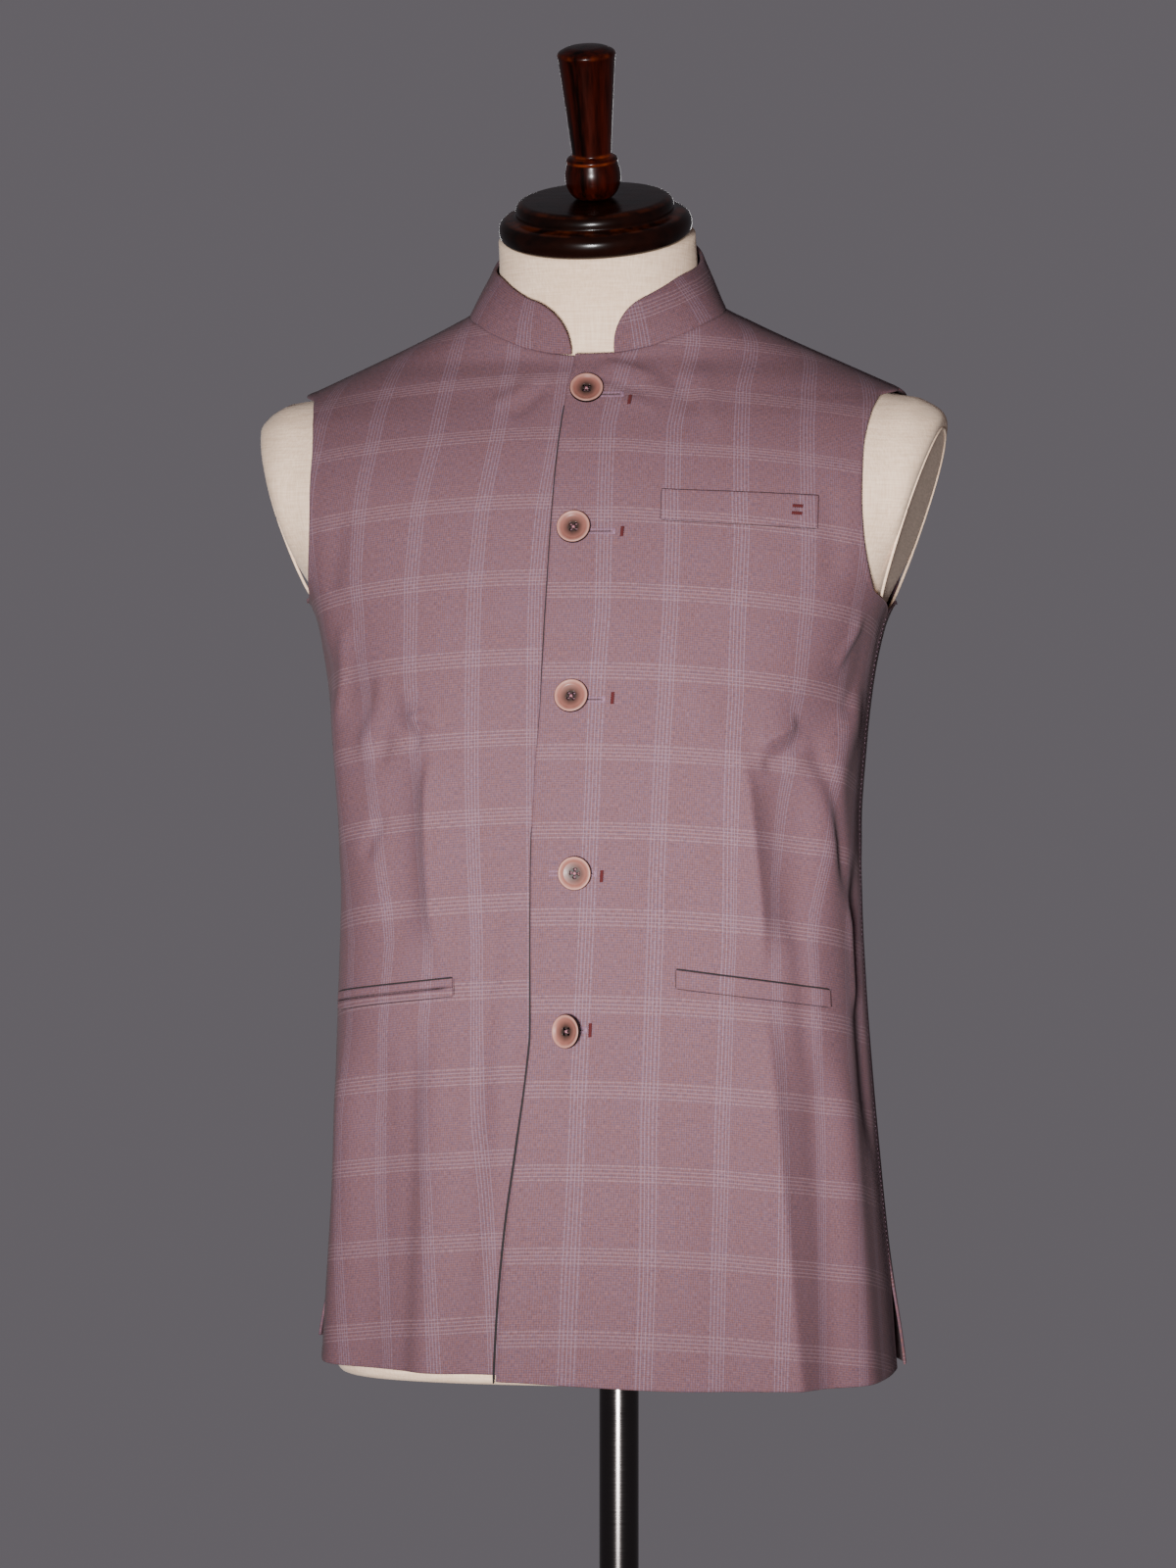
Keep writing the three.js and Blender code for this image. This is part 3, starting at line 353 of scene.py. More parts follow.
def fold_height(folds, girth, z):
    total = np.zeros_like(girth)
    for *path, width, height, edge in folds:
        line = path_points(path)
        near = 3.2 * width
        low, high = line.min(0) - near, line.max(0) + near
        inside = (girth > low[0]) & (girth < high[0]) & (z > low[1]) & (z < high[1])
        g, h = girth[inside], z[inside]
        best, where = np.full(g.shape, np.inf), np.zeros(g.shape)
        for i, (start, end) in enumerate(zip(line[:-1], line[1:])):
            step = end - start
            t = np.clip(((g - start[0]) * step[0] + (h - start[1]) * step[1]) / (step @ step), 0, 1)
            away = np.hypot(g - start[0] - t * step[0], h - start[1] - t * step[1])
            where = np.where(away < best, (i + t) / PATH_STEPS, where)
            best = np.minimum(best, away)
        ends = smooth(0.75, 1, where) if path[5] > 0 else 0
        fade = smooth(0, 0.3, where) * (1 - ends)
        total[inside] += FOLD_GAIN * height * fade * np.exp(-((best / width) ** edge))
    return total


ROLL_WAVES = [
    (0.045, 0.013, 0.4, 0.34),
    (-0.028, 0.031, 2.1, 0.26),
    (0.083, -0.019, 4.4, 0.16),
]


def roll(girth, z):
    return sum(height * np.sin(a * girth + b * z + c) for a, b, c, height in ROLL_WAVES)

# %% [markdown]
# ## From the plain body to the outside of a piece
# The cloth doesn't lie on the plain body. The left front passes over the right one, so it stands out by
# two thicknesses near the middle, and lies down again further round. The back's lower corners kick out
# at the side vents. A trough can't go deeper than the ease between cloth and form, so it is held back
# with `tanh`, which bends smoothly towards a limit.

# %% Outside of a piece
EASE = [(-14, 9), (260, 10), (340, 8.5), (400, 7), (450, 5.6), (500, 5), (560, 4.5), (600, 4.8),
        (650, 6), (690, 4.4), (730, 3.6)]
ease = through(EASE)
ROLL_SHARE = 0.55
FOLD_HELD, CREASE_HELD = 22, 14
FOLD_TOP, CREASE_TOP = (560, 600), (600, 640)
OVERLAP_FADE = (26, 62)


def stand_out(piece, girth, z):
    """How far a place on a piece stands out from the plain body."""
    half = "back" if piece == "back" else "front"
    local = -girth if piece == "right" else girth
    to_seam = np.abs(full_girth(half, z) - np.abs(girth))
    held = smooth(0, FOLD_HELD, to_seam)
    held = np.where(z > VENT_TOP, held, lerp(held, 1, 1 - z / VENT_TOP))
    out = fold_height(FOLDS[piece], local, z) * held * (1 - smooth(*FOLD_TOP, z))
    rolled = ROLL_SHARE * roll(girth, z) * (1 - smooth(*CREASE_TOP, z))
    out = out + (fold_height(CREASES[piece], local, z) + rolled) * smooth(0, CREASE_HELD, to_seam)
    room = ease(z) - SUITING_THICK - 1
    out = np.where(out < 0, room * np.tanh(out / room), out)
    if piece == "left":
        out = out + OVERLAP_LIFT * (1 - smooth(*OVERLAP_FADE, girth))
    if piece == "back":
        flare = np.where(girth > 0, VENT_FLARE["left"], VENT_FLARE["right"])
        out = out + flare * (1 - smooth(0, 1.4 * VENT_TOP, z)) * (1 - smooth(0, 55, to_seam))
    return out


def on_piece(piece, girth, z, lift=0.0):
    half = "back" if piece == "back" else "front"
    girth, z = np.broadcast_arrays(np.asarray(girth, float), np.asarray(z, float))
    out = stand_out(piece, girth, z) + lift
    return on_body(half, girth, z) + body_normal(half, girth, z) * out[..., None]


print("the left front at the third button:", np.round(on_piece("left", 1.6, 420.0), 1))

# %% [markdown]
# ## Cutting lines
# A pattern piece has four sides: hem, centre front, side seam with armhole, and neckline with shoulder.
# Each side is a line in girth and height. The *Coons patch* fills in between: it slides from the bottom
# line to the top one, and from the front line to the side one, so the rows of the mesh follow all four
# edges as the threads of a good pattern piece do.

# %% Tables of the cutting lines
FRONT_EDGE = [(-10, 54), (47, 50.5), (95, 45.5), (142, 38), (189, 30.3), (217, 27.2), (272, 26.4),
              (313, 25.4), (367, 22.4), (420, 17.8), (523, 14.6), (608, 10), (640, 6)]
NECKLINE = [(0, 632), (15, 632.6), (30, 636.4), (45, 645), (60, 655), (75, 661.5), (90, 666),
            (105, 671), (120, 677), (135, 682.5), (150, 687), (165, 689.3), (180, 690)]
ARMHOLE = {
    "front": [(479, 178), (488, 177), (502, 175), (519, 173), (541, 172), (569, 172), (595, 175),
              (606, 178)],
    "back": [(479, 178), (488, 179.5), (502, 181.5), (519, 184.5), (541, 187.5), (569, 187.5), (595, 184),
             (606, 182)],
}
HEM = {
    "left": [(0, 3), (0.45, -1.5), (0.75, -1), (1, 2)],
    "right": [(0, 4.5), (0.5, 7), (1, 8)],
    "back": [(-1, 16), (-0.5, 9), (0, 5), (1, 4)],
}
ARMPIT_SHARE = 0.68
NECK_SHARE = 0.5
front_edge = through(FRONT_EDGE)
neck_height = through(NECKLINE)
armhole = {half: through(rows) for half, rows in ARMHOLE.items()}
hem = {name: through(rows) for name, rows in HEM.items()}


def side_line(half, low, v):
    """Side seam from the hem up to the armpit, then the armhole to the shoulder tip."""
    t = np.linspace(0, 1, 161)
    z = lerp(ARMPIT, SHOULDER_TIP, t - 0.09 * np.sin(2 * np.pi * t))
    seam = full_girth(half, z) - SEAM_HALF_GAP
    cut = np.minimum(girth_at(half, "x", armhole[half](z), z), seam)
    girth = lerp(seam, cut, smooth(0, 0.17, t) * (1 - smooth(0.86, 1, t)))
    run = np.concatenate([[0], np.cumsum(np.hypot(np.diff(girth), np.diff(z)))])
    at = np.clip((v - ARMPIT_SHARE) / (1 - ARMPIT_SHARE), 0, 1) * run[-1]
    seam_z = lerp(low, ARMPIT, np.minimum(v / ARMPIT_SHARE, 1))
    vent = VENT_OPEN * (1 - smooth(0, VENT_TOP, seam_z))
    seam_girth = full_girth(half, seam_z) - SEAM_HALF_GAP - vent
    below = v <= ARMPIT_SHARE
    return np.stack([np.where(below, seam_girth, np.interp(at, run, girth)),
                     np.where(below, seam_z, np.interp(at, run, z))], -1)


def top_line(half, start, u):
    """Neckline from an angle in degrees to the neck point, then the shoulder seam down to its tip."""
    turn = np.minimum(lerp(start, 90, u / NECK_SHARE), 90)
    neck_z = neck_height(np.abs(turn) if half == "front" else 180 - np.abs(turn))
    neck_girth = np.sign(turn) * girth_at(half, "angle", np.radians(np.abs(turn)), neck_z)
    neck_girth = neck_girth - smooth(0.8, 1, u / NECK_SHARE) * SEAM_HALF_GAP
    z = lerp(neck_height(90), SHOULDER_TIP, np.clip((u - NECK_SHARE) / (1 - NECK_SHARE), 0, 1))
    on_neck = u <= NECK_SHARE
    return np.stack([np.where(on_neck, neck_girth, full_girth(half, z) - SEAM_HALF_GAP),
                     np.where(on_neck, neck_z, z)], -1)


def coons(bottom, top, start, end, u, v):
    """A grid of [girth, height] between four lines, each given as points at u or v."""
    u, v = u[None, :, None], v[:, None, None]
    across = (1 - v) * bottom[None] + v * top[None]
    upward = (1 - u) * start[:, None] + u * end[:, None]
    corners = (1 - u) * (1 - v) * bottom[0] + u * (1 - v) * bottom[-1]
    return across + upward - corners - (1 - u) * v * top[0] - u * v * top[-1]


# %% [markdown]
# ## Where the mesh lines go
# Most of a panel is quiet, and a vertex every 2.5 mm shows every fold in it. Its edges are busier: the
# cloth turns under in less than a millimetre. So the mesh lines crowd together at the borders, which
# costs very few faces and gives each edge a real round instead of a knife cut.

# %% Spacing
EDGE_STEPS = np.array([0, 0.15, 0.45, 0.85, 1.7, 3.4])


def spread(length, spacing):
    """Shares from 0 to 1 along an edge of that length, close together at both ends."""
    middle = np.linspace(5.6, length - 5.6, max(3, int((length - 11.2) / spacing)))
    return np.concatenate([EDGE_STEPS, middle, length - EDGE_STEPS[::-1]]) / length


def front_grid(side, width=300, height=760, spacing=2.6):
    u, v = spread(width, spacing), spread(height, spacing)
    low, high = float(hem[side](0)), float(neck_height(0))
    is_left = side == "left"

    def start_girth(z):
        return -front_edge(z) if is_left else np.full(np.shape(z), -float(UNDERLAP))

    start_angle = -math.degrees(math.atan2(-float(start_girth(high)), float(body["front"](high))))
    top = top_line("front", start_angle, u)
    top[:, 1] -= (0 if is_left else UNDERLAP_DROP) * (1 - smooth(0, 0.18, u))
    hem_end = full_girth("front", hem[side](1)) - SEAM_HALF_GAP - VENT_OPEN
    bottom = np.stack([lerp(start_girth(low), hem_end, u), hem[side](u)], -1)
    z = lerp(low, top[0, 1], v)
    start = np.stack([lerp(start_girth(z), top[0, 0], smooth(0.97, 1, v)), z], -1)
    grid = coons(bottom, top, start, side_line("front", float(hem[side](1)), v), u, v)
    return grid if is_left else grid * np.array([-1, 1])


def back_grid(width=290, height=800, spacing=3.4):
    v = spread(height, spacing)
    halves = []
    for sign in (1, -1):
        u = spread(2 * width, spacing)
        u = np.concatenate([[0.5], u[u > 0.5 + 0.4 * spacing / width]]) * 2 - 1
        outer = float(hem["back"](sign))
        edge = float(full_girth("back", outer)) - SEAM_HALF_GAP - VENT_OPEN
        bottom = np.stack([u * edge, hem["back"](sign * u)], -1)
        start = np.stack([np.zeros_like(v), lerp(float(hem["back"](0)), float(neck_height(180)), v)], -1)
        grid = coons(bottom, top_line("back", 0, u), start, side_line("back", outer, v), u, v)
        halves.append(grid * np.array([sign, 1]))
    return np.hstack([halves[1][:, :0:-1], halves[0]])


grids = {"left": front_grid("left"), "right": front_grid("right"), "back": back_grid()}
for name, grid in grids.items():
    print(name, "grid", grid.shape[:2], "girth", grid[..., 0].min().round(1), grid[..., 0].max().round(1))

# %% [markdown]
# ## A shell of cloth
# A sheet in the real world has two sides and a rounded edge. Blender's Solidify would give it the two
# sides but a square edge, so the shell is made here: an outer grid, an inner grid one thickness behind
# it, and both drawn together where they come near the border. Tailored edges hold several layers, so
# the outside swells a little there too. The texture map is laid out in metres of cloth.

# %% Cloth shell
def grid_normals(points, flip):
    across = np.gradient(points, axis=1)
    up = np.gradient(points, axis=0)
    return unit(np.cross(across, up)) * (-1 if flip else 1)


def to_border(points):
    """Distance of each grid point to the nearest edge of the sheet, along the sheet."""
    def runs(axis):
        step = np.linalg.norm(np.diff(points, axis=axis), axis=-1)
        run = np.cumsum(step, axis=axis)
        run = np.insert(run, 0, 0, axis=axis)
        return np.minimum(run, run.max(axis=axis, keepdims=True) - run)

    return np.minimum(runs(0), runs(1))


def make_mesh(name, points, faces, layout=None):
    """A smooth object from points in millimetres and a list of faces; layout gives each point its uv."""
    mesh = bpy.data.meshes.new(name)
    mesh.from_pydata(to_world(points).tolist(), [], faces)
    mesh.polygons.foreach_set("use_smooth", np.ones(len(mesh.polygons), bool))
    if layout is not None:
        corner = np.zeros(len(mesh.loops), int)
        mesh.loops.foreach_get("vertex_index", corner)
        layer = mesh.uv_layers.new(name="cloth")
        layer.data.foreach_set("uv", np.asarray(layout, float)[corner].ravel())
    made = bpy.data.objects.new(name, mesh)
    bpy.context.scene.collection.objects.link(made)
    return made


def shell(name, outside, layout, thickness, flip=False, swell=0.25, swell_width=6.5):
    """A closed sheet behind a grid of outside points, with rounded edges."""
    rows, columns = outside.shape[:2]
    normal = grid_normals(outside, flip)
    edge = to_border(outside)
    radius = thickness / 2
    tuck = radius - np.sqrt(radius**2 - (radius - np.minimum(edge, radius)) ** 2)
    raised = swell * smooth(0.3, 1.6, edge) * (1 - smooth(0.6 * swell_width, swell_width, edge))
    outer = outside + normal * (raised - tuck)[..., None]
    inner = outside - normal * (thickness - tuck)[..., None]
    border = edge == 0
    outer[border] = inner[border] = (outside - normal * radius)[border]
    index = np.arange(rows * columns).reshape(rows, columns)
    behind = index.copy()
    inside = np.zeros((rows, columns), bool)
    inside[1:-1, 1:-1] = True
    behind[inside] = rows * columns + np.arange(inside.sum())

    def quads(i, turned):
        corners = np.stack([i[:-1, :-1], i[:-1, 1:], i[1:, 1:], i[1:, :-1]], -1).reshape(-1, 4)
        return corners[:, ::-1] if turned else corners

    faces = np.vstack([quads(index, flip), quads(behind, not flip)]).tolist()
    points = np.vstack([outer.reshape(-1, 3), inner[inside]])
    layout = np.vstack([layout.reshape(-1, 2), layout[inside]])
    return make_mesh(name, points, faces, layout)


def sheet_area(grid):
    """Area of a grid of points, in the unit of the points squared."""
    a, b = grid[1:, 1:] - grid[:-1, :-1], grid[1:, :-1] - grid[:-1, 1:]
    return 0.5 * np.linalg.norm(np.cross(a, b), axis=-1).sum()

# %% [markdown]
# ## The check, charted on the cloth
# Checked cloth tells the eye how a garment is cut. Where a dart takes cloth away the lines crowd, and
# where the skirt flares they part. So the map isn't simply girth and height: two short charts say how
# far round the body each group of lines runs, level by level, and one says how high each cross group
# lies down the middle. Between the charted places the map is read off by straight interpolation.

# %% Charts of the check
WARP_REPEAT = 43.0
WEFT_REPEAT = 50.0
WARP_CHART = {
    "left": [
        (640, 29, 66, 103, 143, 182, 222),
        (610, 21, 61, 98, 139, 179, 219),
        (586, 17.5, 58, 99, 139, 178, 218),
        (520, 18.5, 60, 102, 143, 181, 222),
        (470, 19, 60, 101, 145, 185, 226),
        (420, 16.5, 58, 101, 143, 184, 225),
        (362, 13.5, 54.5, 98, 134, 172, 212),
        (309, 10, 51, 96.5, 125, 160, 198),
        (270, 7.5, 49.5, 95.5, 124, 151, 189),
        (159, 0, 43.5, 88.5, 124, 154, 182),
        (69, -6.5, 41, 84, 122.5, 151, 178),
        (-20, -11, 37, 81, 120, 149, 176),
    ],
    "right": [
        (640, 12, 46, 86, 127, 168),
        (577, 15, 51.5, 91, 132, 172),
        (534, 20.5, 58, 99, 138, 178),
        (490, 23.5, 61, 102.5, 142, 182),
        (435, 23, 61, 103, 141.5, 181),
        (370, 24, 62, 99, 136, 175),
        (320, 25, 62, 95, 129, 168),
        (269, 26, 61, 91.5, 120, 158),
        (219, 27, 61.5, 97, 126, 160),
        (158, 28, 61, 97, 133, 166),
        (114, 27, 59, 95, 134, 168),
        (-20, 23, 55, 90, 126, 158),
    ],
}
WEFT_CHART = [30, 80.5, 131, 181.5, 233.5, 286.5, 339.5, 386.5, 436, 484.5, 531, 573.5, 608]
WEFT_SHIFT = {"left": 0, "right": 9, "back": 4}
DROOP = 28


def warp_place(piece, girth, z):
    """Cloth width from the first charted group, in millimetres."""
    if piece == "back":
        return girth * 0.985
    local = -girth if piece == "right" else girth
    chart = np.array(WARP_CHART[piece], float)[::-1]
    places = np.stack([np.interp(z, chart[:, 0], column) for column in chart[:, 1:].T], -1)
    found = (local - places[..., 0]) / (places[..., 1] - places[..., 0])
    for i in range(1, places.shape[-1] - 1):
        step = places[..., i + 1] - places[..., i]
        found = np.where(local > places[..., i], i + (local - places[..., i]) / step, found)
    return found * WARP_REPEAT * (-1 if piece == "right" else 1)


def weft_place(piece, girth, z):
    """Cloth height, in millimetres: lines of equal height hang lower towards the sides."""
    level = z + DROOP * (girth / 250) ** 2 - WEFT_SHIFT[piece]
    steps = np.arange(len(WEFT_CHART))
    found = np.interp(level, WEFT_CHART, steps)
    found = np.where(level < WEFT_CHART[0], (level - WEFT_CHART[0]) / WEFT_REPEAT, found)
    above = (level - WEFT_CHART[-1]) / (WEFT_CHART[-1] - WEFT_CHART[-2])
    return np.where(level > WEFT_CHART[-1], steps[-1] + above, found) * WEFT_REPEAT


def cloth_map(piece, grid):
    """The texture map of a grid of [girth, height], in metres of cloth."""
    girth, z = grid[..., 0], grid[..., 1]
    return np.stack([warp_place(piece, girth, z), weft_place(piece, girth, z)], -1) * MM


print("cloth across the left front at the hem:",
      round(float(warp_place("left", np.array(230.0), np.array(10.0))), 1), "mm")

# %% [markdown]
# ## A small kit for materials
# Every finish here is a node tree on the Principled shader. A few helpers keep the trees readable: one
# starts a material with its plain values, one adds a node and wires its inputs, and the rest are short
# names for nodes that come back often. Plain values stay on the shader's own sockets, and only what
# varies over the surface is wired.

# %% Material helpers
def new_material(name, **values):
    material = bpy.data.materials.new(name)
    material.use_nodes = True
    shader = material.node_tree.nodes["Principled BSDF"]
    for key, value in values.items():
        shader.inputs[key.replace("_", " ")].default_value = value
    return material, shader


def add(material, kind, inputs=None, output=0, **settings):
    """Adds a node, sets or wires its inputs, and returns one of its outputs."""
    made = material.node_tree.nodes.new("ShaderNode" + kind)
    for key, value in settings.items():
        setattr(made, key, value)
    for key, value in (inputs or {}).items():
        if isinstance(value, bpy.types.NodeSocket):
            material.node_tree.links.new(value, made.inputs[key])
        else:
            made.inputs[key].default_value = value
    return made.outputs[output]


def calc(material, operation, a, b=0.0):
    return add(material, "Math", {0: a, 1: b}, operation=operation)


def mix(material, share, a, b, blend="MIX"):
    """Mixes two colours; 6 and 7 are the colour sockets of the Mix node."""
    return add(material, "Mix", {0: share, 6: a, 7: b}, output=2, data_type="RGBA", blend_type=blend)


def ranged(material, value, low=0.0, high=1.0, start=0.0, end=1.0, smoothed=False):
    """Maps a value from low..high to start..end, and holds it there beyond either."""
    return add(material, "MapRange", {"Value": value, 1: low, 2: high, 3: start, 4: end},
               interpolation_type="SMOOTHSTEP" if smoothed else "LINEAR")


def shaded(material, base, tone):
    """A colour made lighter or darker by a factor."""
    grey = add(material, "CombineColor", {0: tone, 1: tone, 2: tone})
    return mix(material, 1.0, base, grey, "MULTIPLY")


def from_axis(material, place):
    """Distance from a turned object's own axis, in metres."""
    x, y = (add(material, "SeparateXYZ", {0: place}, output=i) for i in (0, 1))
    flat = add(material, "CombineXYZ", {"X": x, "Y": y})
    return add(material, "VectorMath", {0: flat}, output=1, operation="LENGTH")


def noise(material, where, scale, detail=2.0, roughness=0.5, stretch=(1, 1, 1)):
    moved = add(material, "Mapping", {"Vector": where, "Scale": stretch})
    inputs = {"Vector": moved, "Scale": scale, "Detail": detail, "Roughness": roughness}
    return add(material, "TexNoise", inputs)


def bump(material, shader, height, distance, strength=1.0, below=None):
    inputs = {"Height": height, "Distance": distance, "Strength": strength}
    if below is not None:
        inputs["Normal"] = below
    made = add(material, "Bump", inputs)
    material.node_tree.links.new(made, shader.inputs["Normal"])
    return made


def wire(material, output, shader, socket):
    material.node_tree.links.new(output, shader.inputs[socket])


def colour(red, green, blue):
    """An sRGB colour of 0 to 255, as the linear values that sockets take."""
    def linear(value):
        value /= 255
        return value / 12.92 if value <= 0.04045 else ((value + 0.055) / 1.055) ** 2.4

    return (linear(red), linear(green), linear(blue), 1.0)


# %% [markdown]
# ## Suiting
# The cloth is a shot weave: the yarns one way are red-brown and the other way blue-grey, so the colour
# is a mix of the two that shifts with the grain. Over it lies the check, groups of five fine pale lines,
# lilac along the cloth and pinker across it. Single yarns are drawn as long thin noise in each
# direction, which also drives the bump, so the cloth still reads as woven from close by.

# %% Suiting material
WARP_YARN = colour(103, 66, 63)
WEFT_YARN = colour(79, 65, 78)
LILAC_LINE = colour(124, 106, 122)
PINK_LINE = colour(124, 98, 104)
LINES_IN_GROUP = 5
LINE_PITCH = 2.25
YARN = 1.4


def line_group(material, along, repeat):
    """1 on each fine line of a group, 0 between, from a coordinate in millimetres."""
    start = LINES_IN_GROUP * LINE_PITCH / 2
    local = calc(material, "FLOORED_MODULO", calc(material, "ADD", along, start), repeat)
    inside = calc(material, "LESS_THAN", local, LINES_IN_GROUP * LINE_PITCH)
    part = calc(material, "FRACT", calc(material, "DIVIDE", local, LINE_PITCH))
    away = calc(material, "ABSOLUTE", calc(material, "SUBTRACT", part, 0.5))
    line = ranged(material, away, 0.2, 0.11, 0.0, 1.0, smoothed=True)
    return calc(material, "MULTIPLY", line, inside)


def yarns(material, along, wander):
    """A soft 0 to 1 wave across parallel yarns, nudged sideways so that no two look alike."""
    phase = calc(material, "MULTIPLY", calc(material, "ADD", along, wander), 2 * math.pi / YARN)
    return calc(material, "MULTIPLY", calc(material, "ADD", calc(material, "SINE", phase), 1.0), 0.5)


def suiting(name="suiting"):
    material, shader = new_material(name, Roughness=0.85, Sheen_Weight=0.02, Sheen_Roughness=0.5,
                                    Specular_IOR_Level=0.06)
    cloth = add(material, "UVMap", uv_map="cloth")
    place = add(material, "VectorMath", {0: cloth, "Scale": 1000.0}, operation="SCALE")
    x, y = (add(material, "SeparateXYZ", {0: place}, output=i) for i in (0, 1))
    warp = noise(material, place, 1.0, detail=2, stretch=(2.4, 0.34, 1))
    weft = noise(material, place, 1.0, detail=2, stretch=(0.34, 2.4, 1))
    cloudy = noise(material, place, 0.045, detail=3)
    warp_yarn = yarns(material, x, warp)
    weft_yarn = yarns(material, y, weft)
    shot = calc(material, "ADD", calc(material, "SUBTRACT", warp, weft), 0.5)
    shot = ranged(material, shot, 0.32, 0.68, 0.14, 0.86)
    base = mix(material, shot, WEFT_YARN, WARP_YARN)
    base = mix(material, calc(material, "MULTIPLY", warp_yarn, 0.4), base, colour(72, 66, 92))
    base = mix(material, calc(material, "MULTIPLY", weft_yarn, 0.36), base, colour(104, 68, 58))
    patchy = ranged(material, cloudy, 0.3, 0.7, 0.0, 0.2)
    base = mix(material, patchy, base, colour(92, 62, 60))
    depth = calc(material, "MULTIPLY", calc(material, "ADD", warp_yarn, weft_yarn), 0.5)
    slub = calc(material, "ADD", warp, weft)
    slub = ranged(material, slub, 0.75, 1.25, 0.74, 1.24)
    # The yarn wave sets the tone too: grooves between yarns are painted darker and their crests lighter, as
    # painted shade and highlight; the slubs add random tone.
    tone = calc(material, "MULTIPLY", slub, ranged(material, depth, start=0.82, end=1.14))
    base = shaded(material, base, tone)
    upright = calc(material, "MULTIPLY", line_group(material, x, WARP_REPEAT),
                   ranged(material, weft, 0.35, 0.65, 0.14, 0.46))
    level = calc(material, "MULTIPLY", line_group(material, y, WEFT_REPEAT),
                 ranged(material, warp, 0.35, 0.65, 0.2, 0.6))
    base = mix(material, upright, base, LILAC_LINE)
    base = mix(material, level, base, PINK_LINE)
    wire(material, base, shader, "Base Color")
    bump(material, shader, calc(material, "ADD", depth, slub), 0.0001, 0.5)
    rough = ranged(material, cloudy, start=0.7, end=0.86)
    wire(material, rough, shader, "Roughness")
    return material


suiting_cloth = suiting()
print("suiting has", len(suiting_cloth.node_tree.nodes), "nodes")

# %% [markdown]
# ## Fronts and back
# Each stands for its solid in the frame, rides on the one body there is, and says how large its cut
# was, since a sheet of cloth keeps its area.

# %% Panels
def finish_piece(piece, material, slot, *nodes):
    if not piece.data.materials:
        piece.data.materials.append(material)
    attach(piece, "root")
    if nodes:
        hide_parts(*nodes)
    return piece


def panel(side, node):
    grid = grids[side]
    outside = on_piece(side, grid[..., 0], grid[..., 1])
    made = shell(node + "_cloth", outside, cloth_map(side, grid), SUITING_THICK, flip=side != "left")
    finish_piece(made, suiting_cloth, "suiting", node)
    area = sheet_area(outside) * MM * MM
    print(made.name, len(made.data.polygons), "faces,", round(area, 4), "m2")
    return made, area


front_left, front_left_area = panel("left", "front_left")
front_right, front_right_area = panel("right", "front_right")
back, back_area = panel("back", "back")

# %% [markdown]
# ## Band collar
# The collar is a straight band sewn to the neckline and rounded off at both front ends. Its lower edge
# follows the neckline all the way round, and its free edge follows the neck, so it leans in as it
# rises. Near an end the band's height shrinks along a rounded curve, which makes the cut-away corner.

# %% Collar shape
COLLAR_RISE = [(0, 31), (45, 29.5), (75, 27.5), (100, 31), (140, 34), (180, 35)]
COLLAR_TOP = {"half_width": 64.6, "depth": 63, "mid_x": -1.3, "mid_y": -12}
COLLAR_ENDS = {"left": 14, "right": 352, "rounding": 31}
COLLAR_CORNER = 2.3
COLLAR_START = -0.5
collar_rise = through(COLLAR_RISE)


def neck_seam(angle):
    """The neckline seam at an angle all round: 0 in front, 90 at the wearer's left, 180 at the nape."""
    around = np.where(np.abs(angle) <= 180, angle, angle - 360)
    in_front = np.abs(around) <= 90
    local = np.radians(np.where(in_front, np.abs(around), 180 - np.abs(around)))
    z = neck_height(np.abs(around))
    front, behind = section("front", local, z), section("back", local, z)
    x, y = (np.where(in_front, a, b) for a, b in zip(front, behind))
    return np.stack([body["mid_x"](z) + np.sign(around) * x, y, z], -1)


def collar_top(angle):
    turn = np.radians(angle)
    x = COLLAR_TOP["mid_x"] + COLLAR_TOP["half_width"] * np.sin(turn)
    y = COLLAR_TOP["mid_y"] - COLLAR_TOP["depth"] * np.cos(turn)
    z = neck_seam(angle)[..., 2] + collar_rise(np.where(angle <= 180, angle, 360 - angle))
    return np.stack([x, y, z], -1)


def collar_grid():
    """Points of the collar's outside, and how far along and how high up the band each one is."""
    angles = np.linspace(COLLAR_ENDS["left"], COLLAR_ENDS["right"], 721)
    steps = np.linalg.norm(np.diff(neck_seam(angles), axis=0), axis=1)
    run = np.concatenate([[0], np.cumsum(steps)])
    along = spread(run[-1], 2.0) * run[-1]
    angle = np.interp(along, run, angles)
    near = np.minimum(np.minimum(along, run[-1] - along) / COLLAR_ENDS["rounding"], 1)
    share = np.maximum((1 - (1 - near) ** COLLAR_CORNER) ** (1 / COLLAR_CORNER), 0.12)
    seam = neck_seam(angle)
    rise = collar_top(angle) - seam
    start = seam + unit(rise) * COLLAR_START
    outwards = unit(start * np.array([1, 1, 0]) + np.array([0, 5, 0]))
    up = spread(30, 1.5)[:, None] * share[None, :]
    bulge = 1.2 * np.sin(np.pi * up) + 0.4
    points = start[None] + rise[None] * up[..., None] + outwards[None] * bulge[..., None]
    height = up * np.linalg.norm(rise, axis=1)[None, :]
    return points, np.broadcast_to(along, height.shape), height


collar_outside, collar_along, collar_height = collar_grid()
collar_length = float(collar_along.max())
print("the collar is", round(collar_length), "mm long at its seam")

# %% [markdown]
# A band is cut along the cloth, so one group of lines runs along its top edge at the wearer's left and
# slides off it further round. The other groups cross the band, and they are set so that one comes
# a few centimetres from each front end.

# %% Collar
COLLAR_GROUPS = 9
COLLAR_FIRST = 17
COLLAR_LAST = 30
collar_u = np.interp(collar_along, [0, collar_length],
                     [-COLLAR_FIRST, COLLAR_GROUPS * WARP_REPEAT + COLLAR_LAST])
collar_v = collar_height - 23 + 30 * smooth(0.15, 0.9, collar_along / collar_length)
collar = shell("collar_cloth", collar_outside, np.stack([collar_u, collar_v], -1) * MM, COLLAR_THICK,
               swell=0.2, swell_width=5)
finish_piece(collar, suiting_cloth, "suiting", "collar")

